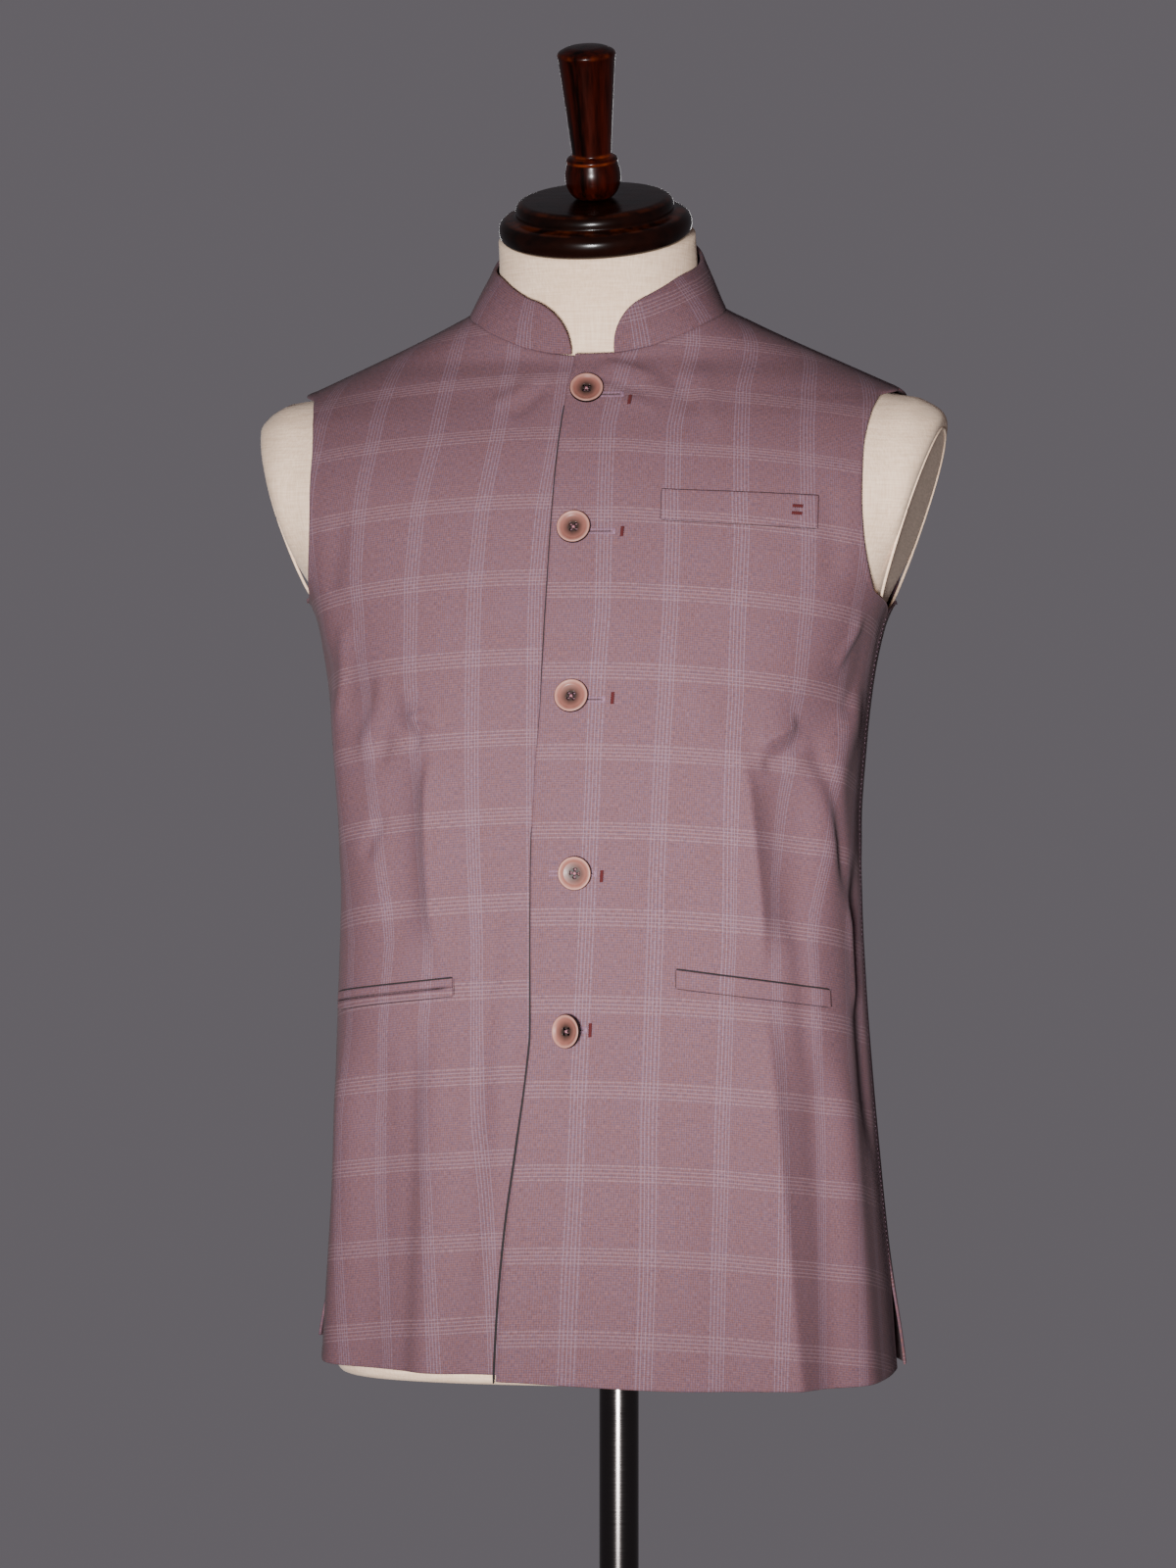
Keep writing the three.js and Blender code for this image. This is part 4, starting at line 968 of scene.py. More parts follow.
# %% [markdown]
# ## Welts
# A welt is a narrow folded strip set into a slash in the front. Its lower edge and both ends are sewn
# down, and its upper edge hides the pocket's mouth, which shows as a thin dark line. The strip lies on
# the panel, so its points come from the same surface with a little lift, and the panel's own map is
# used on it with a small slip, as the two never match perfectly.

# %% Welts
WELT_LIFT = 0.9
WELTS = {
    "chest_welt": ("left", (52.5, 527.5), (148, 522), (18.5, 20), (1.2, 1.0)),
    "hip_welt_left": ("left", (62, 243), (163, 230.5), (11.5, 10.5), (0.5, -2.2)),
    "hip_welt_right": ("right", (76, 237.5), (176, 226.5), (11, 11), (-0.8, 2.4)),
}


def welt_line(row, u, v):
    """Girth and height on a welt: u from the inner to the outer end, v from the lower edge up."""
    side, inner, outer, tall, _ = row
    z = lerp(inner[1], outer[1], u) + v * lerp(tall[0], tall[1], u)
    return (1 if side == "left" else -1) * lerp(inner[0], outer[0], u) + 0 * v, z


def make_welt(name, row):
    side, inner, outer, tall, slip = row
    u = spread(outer[0] - inner[0], 1.5)[None, :]
    v = spread(tall[0], 1.2)[:, None]
    girth, z = welt_line(row, u, v)
    outside = on_piece(side, girth, z, WELT_LIFT + WELT_THICK)
    layout = (np.stack([warp_place(side, girth, z), weft_place(side, girth, z)], -1) + slip) * MM
    made = shell(name + "_cloth", outside, layout, WELT_THICK, flip=side != "left", swell=0.12,
                 swell_width=4)
    finish_piece(made, suiting_cloth, "suiting", name)
    return made, sheet_area(outside) * MM * MM


welts = {name: make_welt(name, row) for name, row in WELTS.items()}
print({name: round(area, 5) for name, (_, area) in welts.items()})

# %% [markdown]
# ## Threads and thin strips
# Stitches, tacks and buttonhole edges are all short bits of thread, and each is a small tube that dips
# into the cloth at both ends. One function sweeps a tube along any line of points, and another
# gathers many tubes in a single mesh, so that a whole seam is one piece.

# %% Tubes
def tube(points, radius, sides=6):
    """Corners and faces of a closed tube along a line of points, tapered at both ends."""
    points = np.asarray(points, float)
    ahead = unit(np.gradient(points, axis=0))
    spare = np.array([0.0, 0.0, 1.0]) if abs(ahead[:, 2]).max() < 0.9 else np.array([1.0, 0.0, 0.0])
    aside = unit(np.cross(ahead, spare))
    over = np.cross(aside, ahead)
    turn = np.linspace(0, 2 * np.pi, sides, endpoint=False)
    size = np.full(len(points), float(radius))
    size[[0, -1]] *= 0.55
    ring = aside[:, None] * np.cos(turn)[None, :, None] + over[:, None] * np.sin(turn)[None, :, None]
    corners = (points[:, None] + ring * size[:, None, None]).reshape(-1, 3)
    faces = []
    for i in range(len(points) - 1):
        for j in range(sides):
            k = (j + 1) % sides
            faces.append((i * sides + j, i * sides + k, (i + 1) * sides + k, (i + 1) * sides + j))
    last = (len(points) - 1) * sides
    faces.append(tuple(range(sides))[::-1])
    faces.append(tuple(range(last, last + sides)))
    return corners, faces


def gather(parts):
    """Many meshes as one list of corners and one of faces."""
    corners, faces, start = [], [], 0
    for points, polygons in parts:
        corners.append(points)
        faces += [tuple(i + start for i in polygon) for polygon in polygons]
        start += len(points)
    return np.vstack(corners), faces


def sewn(name, parts, material, slot="suiting"):
    """Many tubes as one finished piece."""
    return finish_piece(make_mesh(name, *gather(parts)), material, slot)


def arch(start, end, normal, rise, dip, steps=5):
    """A thread's line from one point to another, arched over the cloth with both ends let in."""
    t = np.linspace(0, 1, steps)[:, None]
    lift = (rise + dip) * np.sin(np.pi * t) ** 0.6 - dip
    return start + (end - start) * t + np.asarray(normal) * lift


def thread_material(name, shade, roughness=0.45):
    material, shader = new_material(name, Roughness=roughness, Sheen_Weight=0.08, Specular_IOR_Level=0.3)
    place = add(material, "TexCoord", output=3)
    strands = noise(material, place, 1600, detail=2)
    tone = ranged(material, strands, 0.3, 0.7, 0.72, 1.15)
    wire(material, shaded(material, shade, tone), shader, "Base Color")
    bump(material, shader, strands, 0.0001, 0.6)
    return material


lilac_thread = thread_material("lilac_thread", colour(122, 90, 108))
tack_thread = thread_material("tack_thread", colour(66, 0, 3), 0.75)
button_thread = thread_material("button_thread", colour(150, 92, 104))
# Near-black painted shade, for the pocket mouths, the grooves beside the welts' sewn edges, the buttonhole
# slits and the gap under the front edge.
painted_gap_shade = new_material("pocket_shadow", Roughness=0.95, Base_Color=colour(16, 10, 12))[0]
print("threads:", [material.name for material in (lilac_thread, tack_thread, button_thread)])

# %% [markdown]
# ## Pocket mouths
# A thin dark strip along each welt's upper edge is painted shade in the gap you would put your fingers
# in. On the hips it gapes a little more than on the chest. Finer dark lines along the welt's two ends and
# its lower edge are painted shade of the grooves where a sewn edge draws the cloth down beside it.

# %% Pocket mouths
MOUTHS = {"chest_welt": 0.26, "hip_welt_left": 0.46, "hip_welt_right": 0.46}
SEAM_SHADE = 0.2


def pocket_mouth_shade(name, row):
    side, wide = row[0], MOUTHS[name]
    u = np.linspace(0.004, 0.996, 70)
    girth, z = welt_line(row, u, np.ones(70))
    # Painted shade in the pocket's mouth, then painted shade along the sewn ends and the lower edge.
    mouth = tube(on_piece(side, girth, z + wide * 0.9, WELT_LIFT * 0.75), wide, 8)
    ends = []
    for u_end, off in ((0.0, -0.3), (1.0, 0.3)):
        girth, z = welt_line(row, np.full(14, u_end), np.linspace(0.02, 0.98, 14))
        outwards = off if side == "left" else -off
        ends.append(tube(on_piece(side, girth + outwards, z, 0.0), SEAM_SHADE, 6))
    girth, z = welt_line(row, u, np.zeros(70))
    ends.append(tube(on_piece(side, girth, z - 0.3, 0.0), SEAM_SHADE, 6))
    return sewn(name + "_mouth", [mouth, *ends], painted_gap_shade)


mouths = [pocket_mouth_shade(name, row) for name, row in WELTS.items()]
print(len(mouths), "pocket mouths")

# %% [markdown]
# ## Turned shapes
# Buttons, the wooden cap and the steel stand are all turned: half an outline spun round an axis. A
# corner in the outline becomes a hard edge, which real turned work never has, so each corner is first
# replaced by a short curve. The object's own axes stay on the shape, which lets a material ask how far
# a place is from the axis or how high it lies.

# %% Turning
def eased(profile, radius, steps=4):
    """A half outline with each corner inside it rounded."""
    points = np.array(profile, float)
    made = [points[0]]
    for before, corner, after in zip(points[:-2], points[1:-1], points[2:]):
        room = min(radius, *(0.45 * np.linalg.norm(other - corner) for other in (before, after)))
        start = corner + unit(before - corner) * room
        end = corner + unit(after - corner) * room
        t = np.linspace(0, 1, steps + 1)[:, None]
        made += list((1 - t) ** 2 * start + 2 * t * (1 - t) * corner + t * t * end)
    return np.array(made + [points[-1]])


def turned(name, profile, segments, place=None):
    """A closed turned object; place is its matrix in metres, and the profile is in millimetres."""
    points = np.array(profile, float) * MM
    turn = np.linspace(0, 2 * np.pi, segments, endpoint=False)
    inner = points[1:-1]
    ring = np.stack([np.cos(turn), np.sin(turn)], -1)
    corners = [np.concatenate([ring * r, np.full((segments, 1), h)], 1) for r, h in inner]
    corners = np.vstack([*corners, [[0, 0, points[0, 1]]], [[0, 0, points[-1, 1]]]])
    below, above = len(corners) - 2, len(corners) - 1
    faces = []
    for j in range(segments):
        k = (j + 1) % segments
        faces.append((below, k, j))
        faces.append((above, (len(inner) - 1) * segments + j, (len(inner) - 1) * segments + k))
        for i in range(len(inner) - 1):
            a, b = i * segments, (i + 1) * segments
            faces.append((a + j, a + k, b + k, b + j))
    mesh = bpy.data.meshes.new(name)
    mesh.from_pydata(corners.tolist(), [], faces)
    mesh.polygons.foreach_set("use_smooth", np.ones(len(mesh.polygons), bool))
    made = bpy.data.objects.new(name, mesh)
    if place is not None:
        made.matrix_world = place
    bpy.context.scene.collection.objects.link(made)
    return made


def frame_at(origin, right, over, facing):
    """A matrix from an origin in millimetres above the hem and three unit axes."""
    place = Matrix([(*axes, shift) for axes, shift in zip(zip(right, over, facing), to_world(origin))])
    return Matrix([*place, (0, 0, 0, 1)])


print("an eased square has", len(eased([(0, 0), (5, 0), (5, 5), (0, 5)], 1)), "points")

# %% [markdown]
# ## Buttons
# Each button is a shallow dish with a raised rim and four holes drilled through. Its colour changes with
# the distance from the middle: grey-brown at the holes, copper-pink in the bowl, pale on the rim (partly a
# painted highlight) and almost black underneath, partly the button's own dark underside and partly painted
# shade under the rim. The hole walls are painted dark as shade. The holes are cut with a Boolean, and
# the button then leans on the cloth just as its thread lets it.

# %% Button places
BUTTON_GAP = 0.5
BUTTON_BASE = 6.6
BUTTON_CORNER = (10, 1.5)
BUTTON_COLUMNS = ("girth", "height", "leans_up", "leans_left", "spin")
BUTTONS = [
    (2.6, 607, 3, 7, 0),
    (0, 522, 8, 0, 4),
    (1.6, 420, 17, 0, -3),
    (2.2, 313, 3, -3, 40),
    (-3.6, 217, 4, -28, 2),
]
HOLE_RADIUS = 0.98
HOLE_RING = 2.3


def button_seat(row):
    """Where a button's underside is, and its three axes."""
    girth, z, up, left, spin = row
    seat = on_piece("left", float(girth), float(z))
    normal = body_normal("front", float(girth), float(z))
    above = unit(np.array([0, 0, 1.0]) - normal * normal[2])
    aside = unit(np.cross(above, normal))
    facing = unit(normal + above * math.tan(math.radians(up)) + aside * math.tan(math.radians(left)))
    right = unit(np.cross(above, facing))
    over = np.cross(facing, right)
    tilt = math.acos(min(1.0, float(facing @ normal)))
    corner = BUTTON_CORNER[0] * math.sin(tilt) - BUTTON_CORNER[1] * math.cos(tilt)
    lift = BUTTON_GAP + max(corner, BUTTON_BASE * math.sin(tilt))
    turn = math.radians(spin)
    spun = right * math.cos(turn) + over * math.sin(turn)
    return seat + normal * lift, spun, np.cross(facing, spun), facing, normal


for row in BUTTONS:
    print(dict(zip(BUTTON_COLUMNS, row)), "at", np.round(to_world(button_seat(row)[0]), 4))

# %% Button material
def button_material():
    material, shader = new_material("button_shell", Roughness=0.4, Specular_IOR_Level=0.16, Coat_Weight=0.02,
                                    Coat_Roughness=0.12)
    place = add(material, "TexCoord", output=3)
    reach = calc(material, "MULTIPLY", from_axis(material, place), 1000.0)
    height = calc(material, "MULTIPLY", add(material, "SeparateXYZ", {0: place}, output=2), 1000.0)
    streak = noise(material, place, 260, detail=3, stretch=(1, 1, 0.2))
    wobble = calc(material, "MULTIPLY", calc(material, "SUBTRACT", streak, 0.5), 1.6)
    ramp = ranged(material, calc(material, "ADD", reach, wobble), 0.0, 11.0)
    shades = material.node_tree.nodes.new("ShaderNodeValToRGB")
    # The pale stop near the rim is partly the rim's own lighter colour and partly a painted highlight.
    stops = [(0.0, colour(26, 19, 18)), (0.26, colour(42, 31, 28)), (0.48, colour(86, 56, 50)),
             (0.7, colour(118, 74, 66)), (0.86, colour(146, 104, 94)), (1.0, colour(96, 64, 56))]
    for i, (where, shade) in enumerate(stops):
        stop = shades.color_ramp.elements[i] if i < 2 else shades.color_ramp.elements.new(where)
        stop.position = where
        stop.color = shade
    material.node_tree.links.new(ramp, shades.inputs[0])
    # Painted shade: below the rim the button turns almost black, partly its own dark underside and partly
    # shade under the rim, and the hole walls are painted dark as shade inside the holes.
    under = ranged(material, height, 3.3, 3.05, 0.0, 1.0)
    outer = ranged(material, reach, 9.2, 9.7, 0.0, 1.0)
    dark = calc(material, "MULTIPLY", under, outer)
    low = ranged(material, height, 1.75, 1.5, 0.0, 1.0)
    dark = calc(material, "MAXIMUM", dark, low)
    wire(material, mix(material, dark, shades.outputs[0], colour(12, 7, 6)), shader, "Base Color")
    bump(material, shader, streak, 0.00005, 0.35)
    return material


button_shell = button_material()
print("button material has", len(button_shell.node_tree.nodes), "nodes")

# %% Buttons
def drill(mesh_object, ring, radius, count=4):
    """Cuts round holes through a turned object, parallel to its axis."""
    cutters = []
    for i in range(count):
        angle = math.pi / 4 + i * 2 * math.pi / count
        cutter = turned("drill", [(0, -3), (radius, -3), (radius, 8), (0, 8)], 24)
        cutter.matrix_world = mesh_object.matrix_world @ Matrix.Translation(
            (ring * MM * math.cos(angle), ring * MM * math.sin(angle), 0))
        cutters.append(cutter)
        cut = mesh_object.modifiers.new("hole", "BOOLEAN")
        cut.object = cutter
        cut.solver = "EXACT"
    bpy.context.view_layer.update()
    evaluated = mesh_object.evaluated_get(bpy.context.evaluated_depsgraph_get())
    mesh = bpy.data.meshes.new_from_object(evaluated)
    mesh_object.modifiers.clear()
    mesh_object.data = mesh
    for cutter in cutters:
        bpy.data.objects.remove(cutter)


BUTTON_FINE = eased([(0, 0), (7.4, 0), (9.8, 0.8), (10.4, 1.5), (10.45, 2.7), (10.0, 3.4), (9.3, 3.55),
                     (8.3, 3.0), (7.1, 2.3), (4.2, 1.95), (0, 1.85)], 0.5)
buttons = []
for number, row in enumerate(BUTTONS, 1):
    origin, right, over, facing, _ = button_seat(row)
    made = turned(f"button_{number}_shell", BUTTON_FINE, 96, frame_at(origin, right, over, facing))
    drill(made, HOLE_RING, HOLE_RADIUS)
    buttons.append(finish_piece(made, button_shell, "button", f"button_{number}"))
print([(made.name, len(made.data.polygons)) for made in buttons])

# %% [markdown]
# ## Thread through the buttons
# Two loops cross in the middle of each button, from hole to opposite hole, and a short shank of
# thread holds it off the cloth. Each crossing is three strands side by side.

# %% Button threads
THREAD_REACH = 1.5


def button_threads(row):
    origin, right, over, facing, normal = button_seat(row)
    seat = on_piece("left", float(row[0]), float(row[1]))
    parts = []
    for pair, turn in enumerate((math.pi / 4, 3 * math.pi / 4)):
        across = right * math.cos(turn) + over * math.sin(turn)
        aside = np.cross(facing, across)
        for strand in (-0.2, 0.0, 0.2):
            middle = origin + facing * 1.9 + aside * strand
            start, end = middle - across * THREAD_REACH, middle + across * THREAD_REACH
            parts.append(tube(arch(start, end, facing, 0.35 + 0.2 * pair, 1.3, 9), 0.15, 6))
    lean = unit(origin - seat)
    for i in range(6):
        turn = i * math.pi / 3
        spoke = (right * math.cos(turn) + over * math.sin(turn)) * 0.75
        foot = seat + spoke * 0.9 - lean * 0.6
        waist = (seat + origin) / 2 + spoke * 0.6
        parts.append(tube([foot, waist, origin + spoke + facing * 0.3], 0.3, 6))
    return parts


for number, row in enumerate(BUTTONS, 1):
    sewn(f"button_{number}_thread", button_threads(row), button_thread, "button")
print("threads through", len(BUTTONS), "buttons")

# %% [markdown]
# ## Buttonholes and bar tacks
# A buttonhole is a slit with its edges covered by small, tight stitches. It runs from under the button
# towards the wearer's left and ends in a bar. A little further on sits a short upright tack in
# dark red, satin stitched for show. Where a button leans away, its buttonhole peeks out on the other side.

# %% Buttonholes
PURL_PITCH = 0.85
HOLES = [
    {"z": 604.6, "start": 8, "end": 24.5, "tack": 29.6, "tack_z": 600.4, "tall": 5.7, "left": False},
    {"z": 520.0, "start": 8, "end": 24.0, "tack": 29.4, "tack_z": 519.8, "tall": 5.8, "left": False},
    {"z": 418.2, "start": 8, "end": 20.5, "tack": 26.2, "tack_z": 419.2, "tall": 7.2, "left": False},
    {"z": 312.8, "start": 6, "end": 14.0, "tack": 18.2, "tack_z": 311.2, "tall": 7.0, "left": True},
    {"z": 217.6, "start": 2, "end": 6.4, "tack": 9.4, "tack_z": 217.6, "tall": 8.2, "left": True},
]


def thread_on_cloth(a, b, rise=0.22, radius=0.2, steps=5, side="left"):
    """A stitch from one [girth, height] to another, arched over a panel."""
    ends = on_piece(side, np.array([a[0], b[0]]), np.array([a[1], b[1]]))
    middle = body_normal("back" if side == "back" else "front", (a[0] + b[0]) / 2, (a[1] + b[1]) / 2)
    return tube(arch(ends[0], ends[1], middle, rise, 0.25, steps), radius, 6)


def buttonhole(row):
    z = row["z"]
    parts = []
    ranges = [(row["start"], row["end"])]
    if row["left"]:
        ranges.append((-14.0, -6.0))
    for low, high in ranges:
        for i, girth in enumerate(np.arange(low, high, PURL_PITCH)):
            for sign in (-1, 1):
                wave = 0.16 * math.sin(7.1 * girth + sign)
                inner, outer = z + sign * 0.45, z + sign * (1.95 + wave)
                parts.append(thread_on_cloth((girth, inner), (girth + 0.25, outer), 0.35, 0.28))
    for step in (0.0, 0.5, 1.0):
        low, high = (row["end"] + step, z - 2.1), (row["end"] + step, z + 2.1)
        parts.append(thread_on_cloth(low, high, 0.3, 0.24, 7))
    return parts


def slit_shade(row):
    """Painted shade in the opening between the two rows of stitches, as a thin dark tube."""
    girth = np.linspace(row["start"] - 2, row["end"] - 1.2, 24)
    return tube(on_piece("left", girth, np.full(24, row["z"]), -0.02), 0.24, 6)


def bar_tack(girth, z, wide=2.3, tall=5.6, lean=0.25):
    """Close satin stitches across a short upright bar, with slightly ragged ends."""
    parts = []
    for i, step in enumerate(np.arange(-tall / 2, tall / 2, 0.4)):
        shift = lean * step / tall * 2 + 0.16 * math.sin(2.3 * i + girth)
        start = (girth - wide / 2 + shift, z + step)
        parts.append(thread_on_cloth(start, (start[0] + wide, start[1] + 0.25), 0.75, 0.28, 7))
    return parts


for number, row in enumerate(HOLES, 1):
    sewn(f"buttonhole_{number}", buttonhole(row), lilac_thread)
    sewn(f"buttonhole_{number}_slit", [slit_shade(row)], painted_gap_shade)
    sewn(f"bar_tack_{number}", bar_tack(row["tack"], row["tack_z"], tall=row["tall"]), tack_thread)


def welt_tack(name, u, v, wide=6.2, tall=2.1):
    """A tack that lies along a welt's surface, made of close upright stitches."""
    girth, z = welt_line(WELTS[name], u, v)
    lift = WELT_LIFT + WELT_THICK
    parts = []
    for i, step in enumerate(np.arange(-wide / 2, wide / 2, 0.4)):
        place = np.array([girth + step, girth + step + 0.2])
        middle = z - 0.05 * step + 0.2 * math.sin(1.9 * i + 7 * v)
        ends = on_piece("left", place, np.array([middle - tall / 2, middle + tall / 2]), lift)
        parts.append(tube(arch(ends[0], ends[1], body_normal("front", girth, z), 0.7, 0.25, 7), 0.27, 6))
    return parts


tacks = welt_tack("chest_welt", 0.865, 0.64) + welt_tack("chest_welt", 0.86, 0.42)
sewn("welt_tacks", tacks, tack_thread)
print(len(HOLES), "buttonholes and", len(HOLES) + 2, "tacks")

# %% [markdown]
# ## Seam stitching
# The side seams are topstitched just in front of the seam line, so finely that you only notice it up
# close. The stitches are the same small arched threads as before, laid end to end along a line.

# %% Topstitching
STITCH = {"length": 2.1, "gap": 0.75, "radius": 0.15}


def seam_stitches(sign, low=VENT_TOP + 2, high=ARMPIT - 4, inset=1.6):
    side = "left" if sign > 0 else "right"
    parts = []
    for z in np.arange(low, high, STITCH["length"] + STITCH["gap"]):
        levels = (z, z + STITCH["length"])
        ends = [(sign * (float(full_girth("front", level)) - inset), level) for level in levels]
        parts.append(thread_on_cloth(*ends, rise=0.32, radius=STITCH["radius"], steps=4, side=side))
    return parts


for sign, name in ((1, "left"), (-1, "right")):
    sewn(f"side_stitches_{name}", seam_stitches(sign), lilac_thread)

# %% [markdown]
# ## Under the front edge
# The left front lies on the right one, and a narrow gap stays between them. From the front you see it as
# a dark line beside the edge, a little wider near the hem, where the edge stands off. A thin dark tube on
# the right front is painted shade that stands in for that gap.

# %% Edge gap
def edge_gap_shade(low, high, radius):
    """Painted shade of the narrow gap under the left front's edge, as a thin dark tube on the right front.
    """
    z = np.arange(low, high, 4.0)
    shown = 0.2 + radius + 2.4 * (1 - smooth(0, 420, z))
    line = on_piece("right", -(front_edge(z) + shown), z, 0.1)
    return tube(line, radius, 6)


gap = sewn("front_edge_gap", [edge_gap_shade(1, 345, 0.8), edge_gap_shade(335, 600, 0.5)], painted_gap_shade)
print("the edge gap has", len(gap.data.polygons), "faces")

# %% [markdown]
# ## Pick stitches on the collar
# The collar's free edge is pick stitched by hand. Each stitch is a dot of thread a few millimetres
# from the next, along one row of the collar's own grid.

# %% Collar stitches
def collar_stitches(row=-9, pitch=5, length=2):
    """Short stitches along the collar's free edge, a given number of grid rows from it."""
    normals = grid_normals(collar_outside, False)
    line, out = collar_outside[row], normals[row]
    parts = []
    for i in range(10, len(line) - 12, pitch):
        start, end = line[i], line[i] + (line[i + 1] - line[i]) * min(1.0, length / 2)
        parts.append(tube(arch(start, end, out[i], 0.1, 0.15, 4), 0.12, 5))
    return parts


sewn("collar_stitches", collar_stitches(), lilac_thread)
print("stitching done")

# %% [markdown]
# ## The linen form
# Under the cloth stands a form covered in natural linen. It is the same family of slices, moved inwards
# by the cloth's ease, cut flat at both arms and leaning forward at the neck. Since the lean depends on a
# point's own depth, each point is found by a few rounds of correction. The arm
# plates meet the shoulder in a soft edge, where the two surfaces are blended instead of cut.

# %% Form shape
ARM_PLATE = {"mid_x": -1.7, "top_z": 590, "top_x": 216, "slope": 0.33, "blend": 5}
NECK_PLANE = {"x": -1.3, "y": -22, "z": 708.5}
ARM_EASE = 0.6
CAP_TILT = math.radians(20)


def all_round(angle, z):
    in_front = np.cos(angle) >= 0
    own = np.where(in_front, angle, np.pi - angle)
    front, behind = section("front", own, z), section("back", own, z)
    x, y = (np.where(in_front, a, b) for a, b in zip(front, behind))
    return np.stack([body["mid_x"](z) + x, y, z + 0 * x], -1)


def body_inset(angle, z, inset):
    along = all_round(angle + 0.01, z) - all_round(angle - 0.01, z)
    up = all_round(angle, z + 1) - all_round(angle, z - 1)
    return all_round(angle, z) - unit(np.cross(along, up)) * inset[..., None]


def form_points(angle, level, lean, inset):
    z = level + 0 * angle
    point = None
    for _ in range(14):
        bare = smooth(181, 200, np.abs(point[..., 0])) if point is not None else 0 * z
        point = body_inset(angle, z, lerp(ease(z), ARM_EASE, bare) + inset)
        z = z + level + lean * (point[..., 1] - NECK_PLANE["y"]) - point[..., 2]
    point[..., 2] = level + lean * (point[..., 1] - NECK_PLANE["y"])
    plate = ARM_PLATE["top_x"] - ARM_PLATE["slope"] * (ARM_PLATE["top_z"] - point[..., 2])
    plate = np.where(point[..., 2] > ARMPIT - 2, plate, plate + 400)
    reach = np.abs(point[..., 0] - ARM_PLATE["mid_x"])
    share = np.clip(0.5 + 0.5 * (plate - reach) / ARM_PLATE["blend"], 0, 1)
    soft = lerp(plate, reach, share) - ARM_PLATE["blend"] * share * (1 - share)
    point[..., 0] = ARM_PLATE["mid_x"] + np.sign(point[..., 0] - ARM_PLATE["mid_x"]) * soft
    return point


def form_grid(columns=264):
    bottom = [(-1, 9), (-0.7, 6.5), (0.1, 4.2), (1.4, 2.6), (3.2, 1.2), (5, 0.6)]
    rings = [(level, 0.0, inset) for level, inset in bottom]
    levels = [np.arange(8, 456, 8.0), np.arange(458, 690, 2.2), [692, 698, 704, NECK_PLANE["z"]]]
    for level in np.concatenate(levels):
        rings.append((level, math.tan(CAP_TILT) * float(smooth(600, 700, level)), 0.0))
    rings = np.array(rings)
    angle = -np.pi + 2 * np.pi * (np.arange(columns) + 0.5) / columns
    angle, level = np.broadcast_arrays(angle[None, :], rings[:, :1])
    lean, inset = (np.broadcast_to(rings[:, i : i + 1], angle.shape) for i in (1, 2))
    return form_points(angle, level, lean, inset)


def closed_rings(name, points):
    rows, columns = points.shape[:2]
    corners = np.vstack([points.reshape(-1, 3), points[0].mean(0), points[-1].mean(0)])
    index = np.arange(rows * columns).reshape(rows, columns)
    after = np.roll(index, -1, axis=1)
    faces = np.stack([index[:-1], after[:-1], after[1:], index[1:]], -1).reshape(-1, 4).tolist()
    faces += [(rows * columns, int(b), int(a)) for a, b in zip(index[0], after[0])]
    faces += [(rows * columns + 1, int(a), int(b)) for a, b in zip(index[-1], after[-1])]
    return make_mesh(name, corners, faces)


# %% Linen
def linen_material():
    material, shader = new_material("linen_cover", Roughness=0.88, Sheen_Weight=0.08, Specular_IOR_Level=0.2)
    place = add(material, "TexCoord", output=3)
    slub = noise(material, place, 1.0, detail=3, stretch=(900, 900, 60))
    cross = noise(material, place, 1.0, detail=3, stretch=(60, 60, 900))
    stain = noise(material, place, 14, detail=4)
    weave = calc(material, "ADD", slub, cross)
    base = mix(material, ranged(material, weave, 0.75, 1.25),
               colour(208, 177, 150), colour(232, 202, 176))
    aged = ranged(material, stain, 0.45, 0.75, 0.0, 0.35)
    wire(material, mix(material, aged, base, colour(198, 164, 132)), shader, "Base Color")
    bump(material, shader, weave, 0.00025, 0.5)
    return material


linen = linen_material()
torso = finish_piece(closed_rings("form_linen", form_grid()), linen, "linen", "form_torso")
print("form", len(torso.data.polygons), "faces")

# %% [markdown]
# ## Cords round the arm plates
# The linen is sewn over a cord a little inside the edge of each arm plate. Each cord is a tube that
# follows the plate's outline, so the plate's own boundary is measured first: a ring of points
# where the shoulder's slices meet the flat plate.

# %% Arm plate cords
def plate_outline(sign, inset, count=120):
    """A loop on an arm plate, a given distance inside its outline."""
    levels = np.linspace(ARMPIT + 6, 604, 66)
    front, behind = [], []
    for z in levels:
        drop = ARM_PLATE["slope"] * (ARM_PLATE["top_z"] - z)
        plate = ARM_PLATE["mid_x"] * sign + ARM_PLATE["top_x"] - drop
        for half, rows in (("front", front), ("back", behind)):
            turn = np.linspace(0.2, np.pi / 2, 300)
            x, y = section(half, turn, z)
            if x[-1] > plate:
                rows.append((np.interp(plate, x, y), z))
    outline = np.array(front + behind[::-1])
    middle = outline.mean(0)
    away = outline - middle
    turn = np.arctan2(away[:, 1], away[:, 0])
    order = np.argsort(turn)
    even = np.linspace(-np.pi, np.pi, count, endpoint=False)
    reach = np.interp(even, turn[order], np.linalg.norm(away, axis=1)[order], period=2 * np.pi) - inset
    reach = np.array([np.mean(np.roll(reach, 4 - i)[:9]) for i in range(count)])
    y, z = middle[0] + reach * np.cos(even), middle[1] + reach * np.sin(even)
    x = sign * (ARM_PLATE["top_x"] - ARM_PLATE["slope"] * (ARM_PLATE["top_z"] - z)) + ARM_PLATE["mid_x"]
    return np.stack([x, y, z], -1)


def cord(name, sign):
    line = plate_outline(sign, 9)
    line = np.vstack([line, line[:2]])
    return sewn(name, [tube(line, 0.9, 8)], linen, "linen")


cords = [cord("arm_cord_left", 1), cord("arm_cord_right", -1)]
print("cords", [round(float(piece.dimensions[2]), 3) for piece in cords])

# %% [markdown]
# ## The wooden cap
# The cap and its handle are turned from dark wood and lacquered. The grain runs up the handle and
# across the discs. Lacquer wears first where hands touch it: the beads and rims show a warm orange
# brown through the near black, so wear is mixed in by height along the handle.

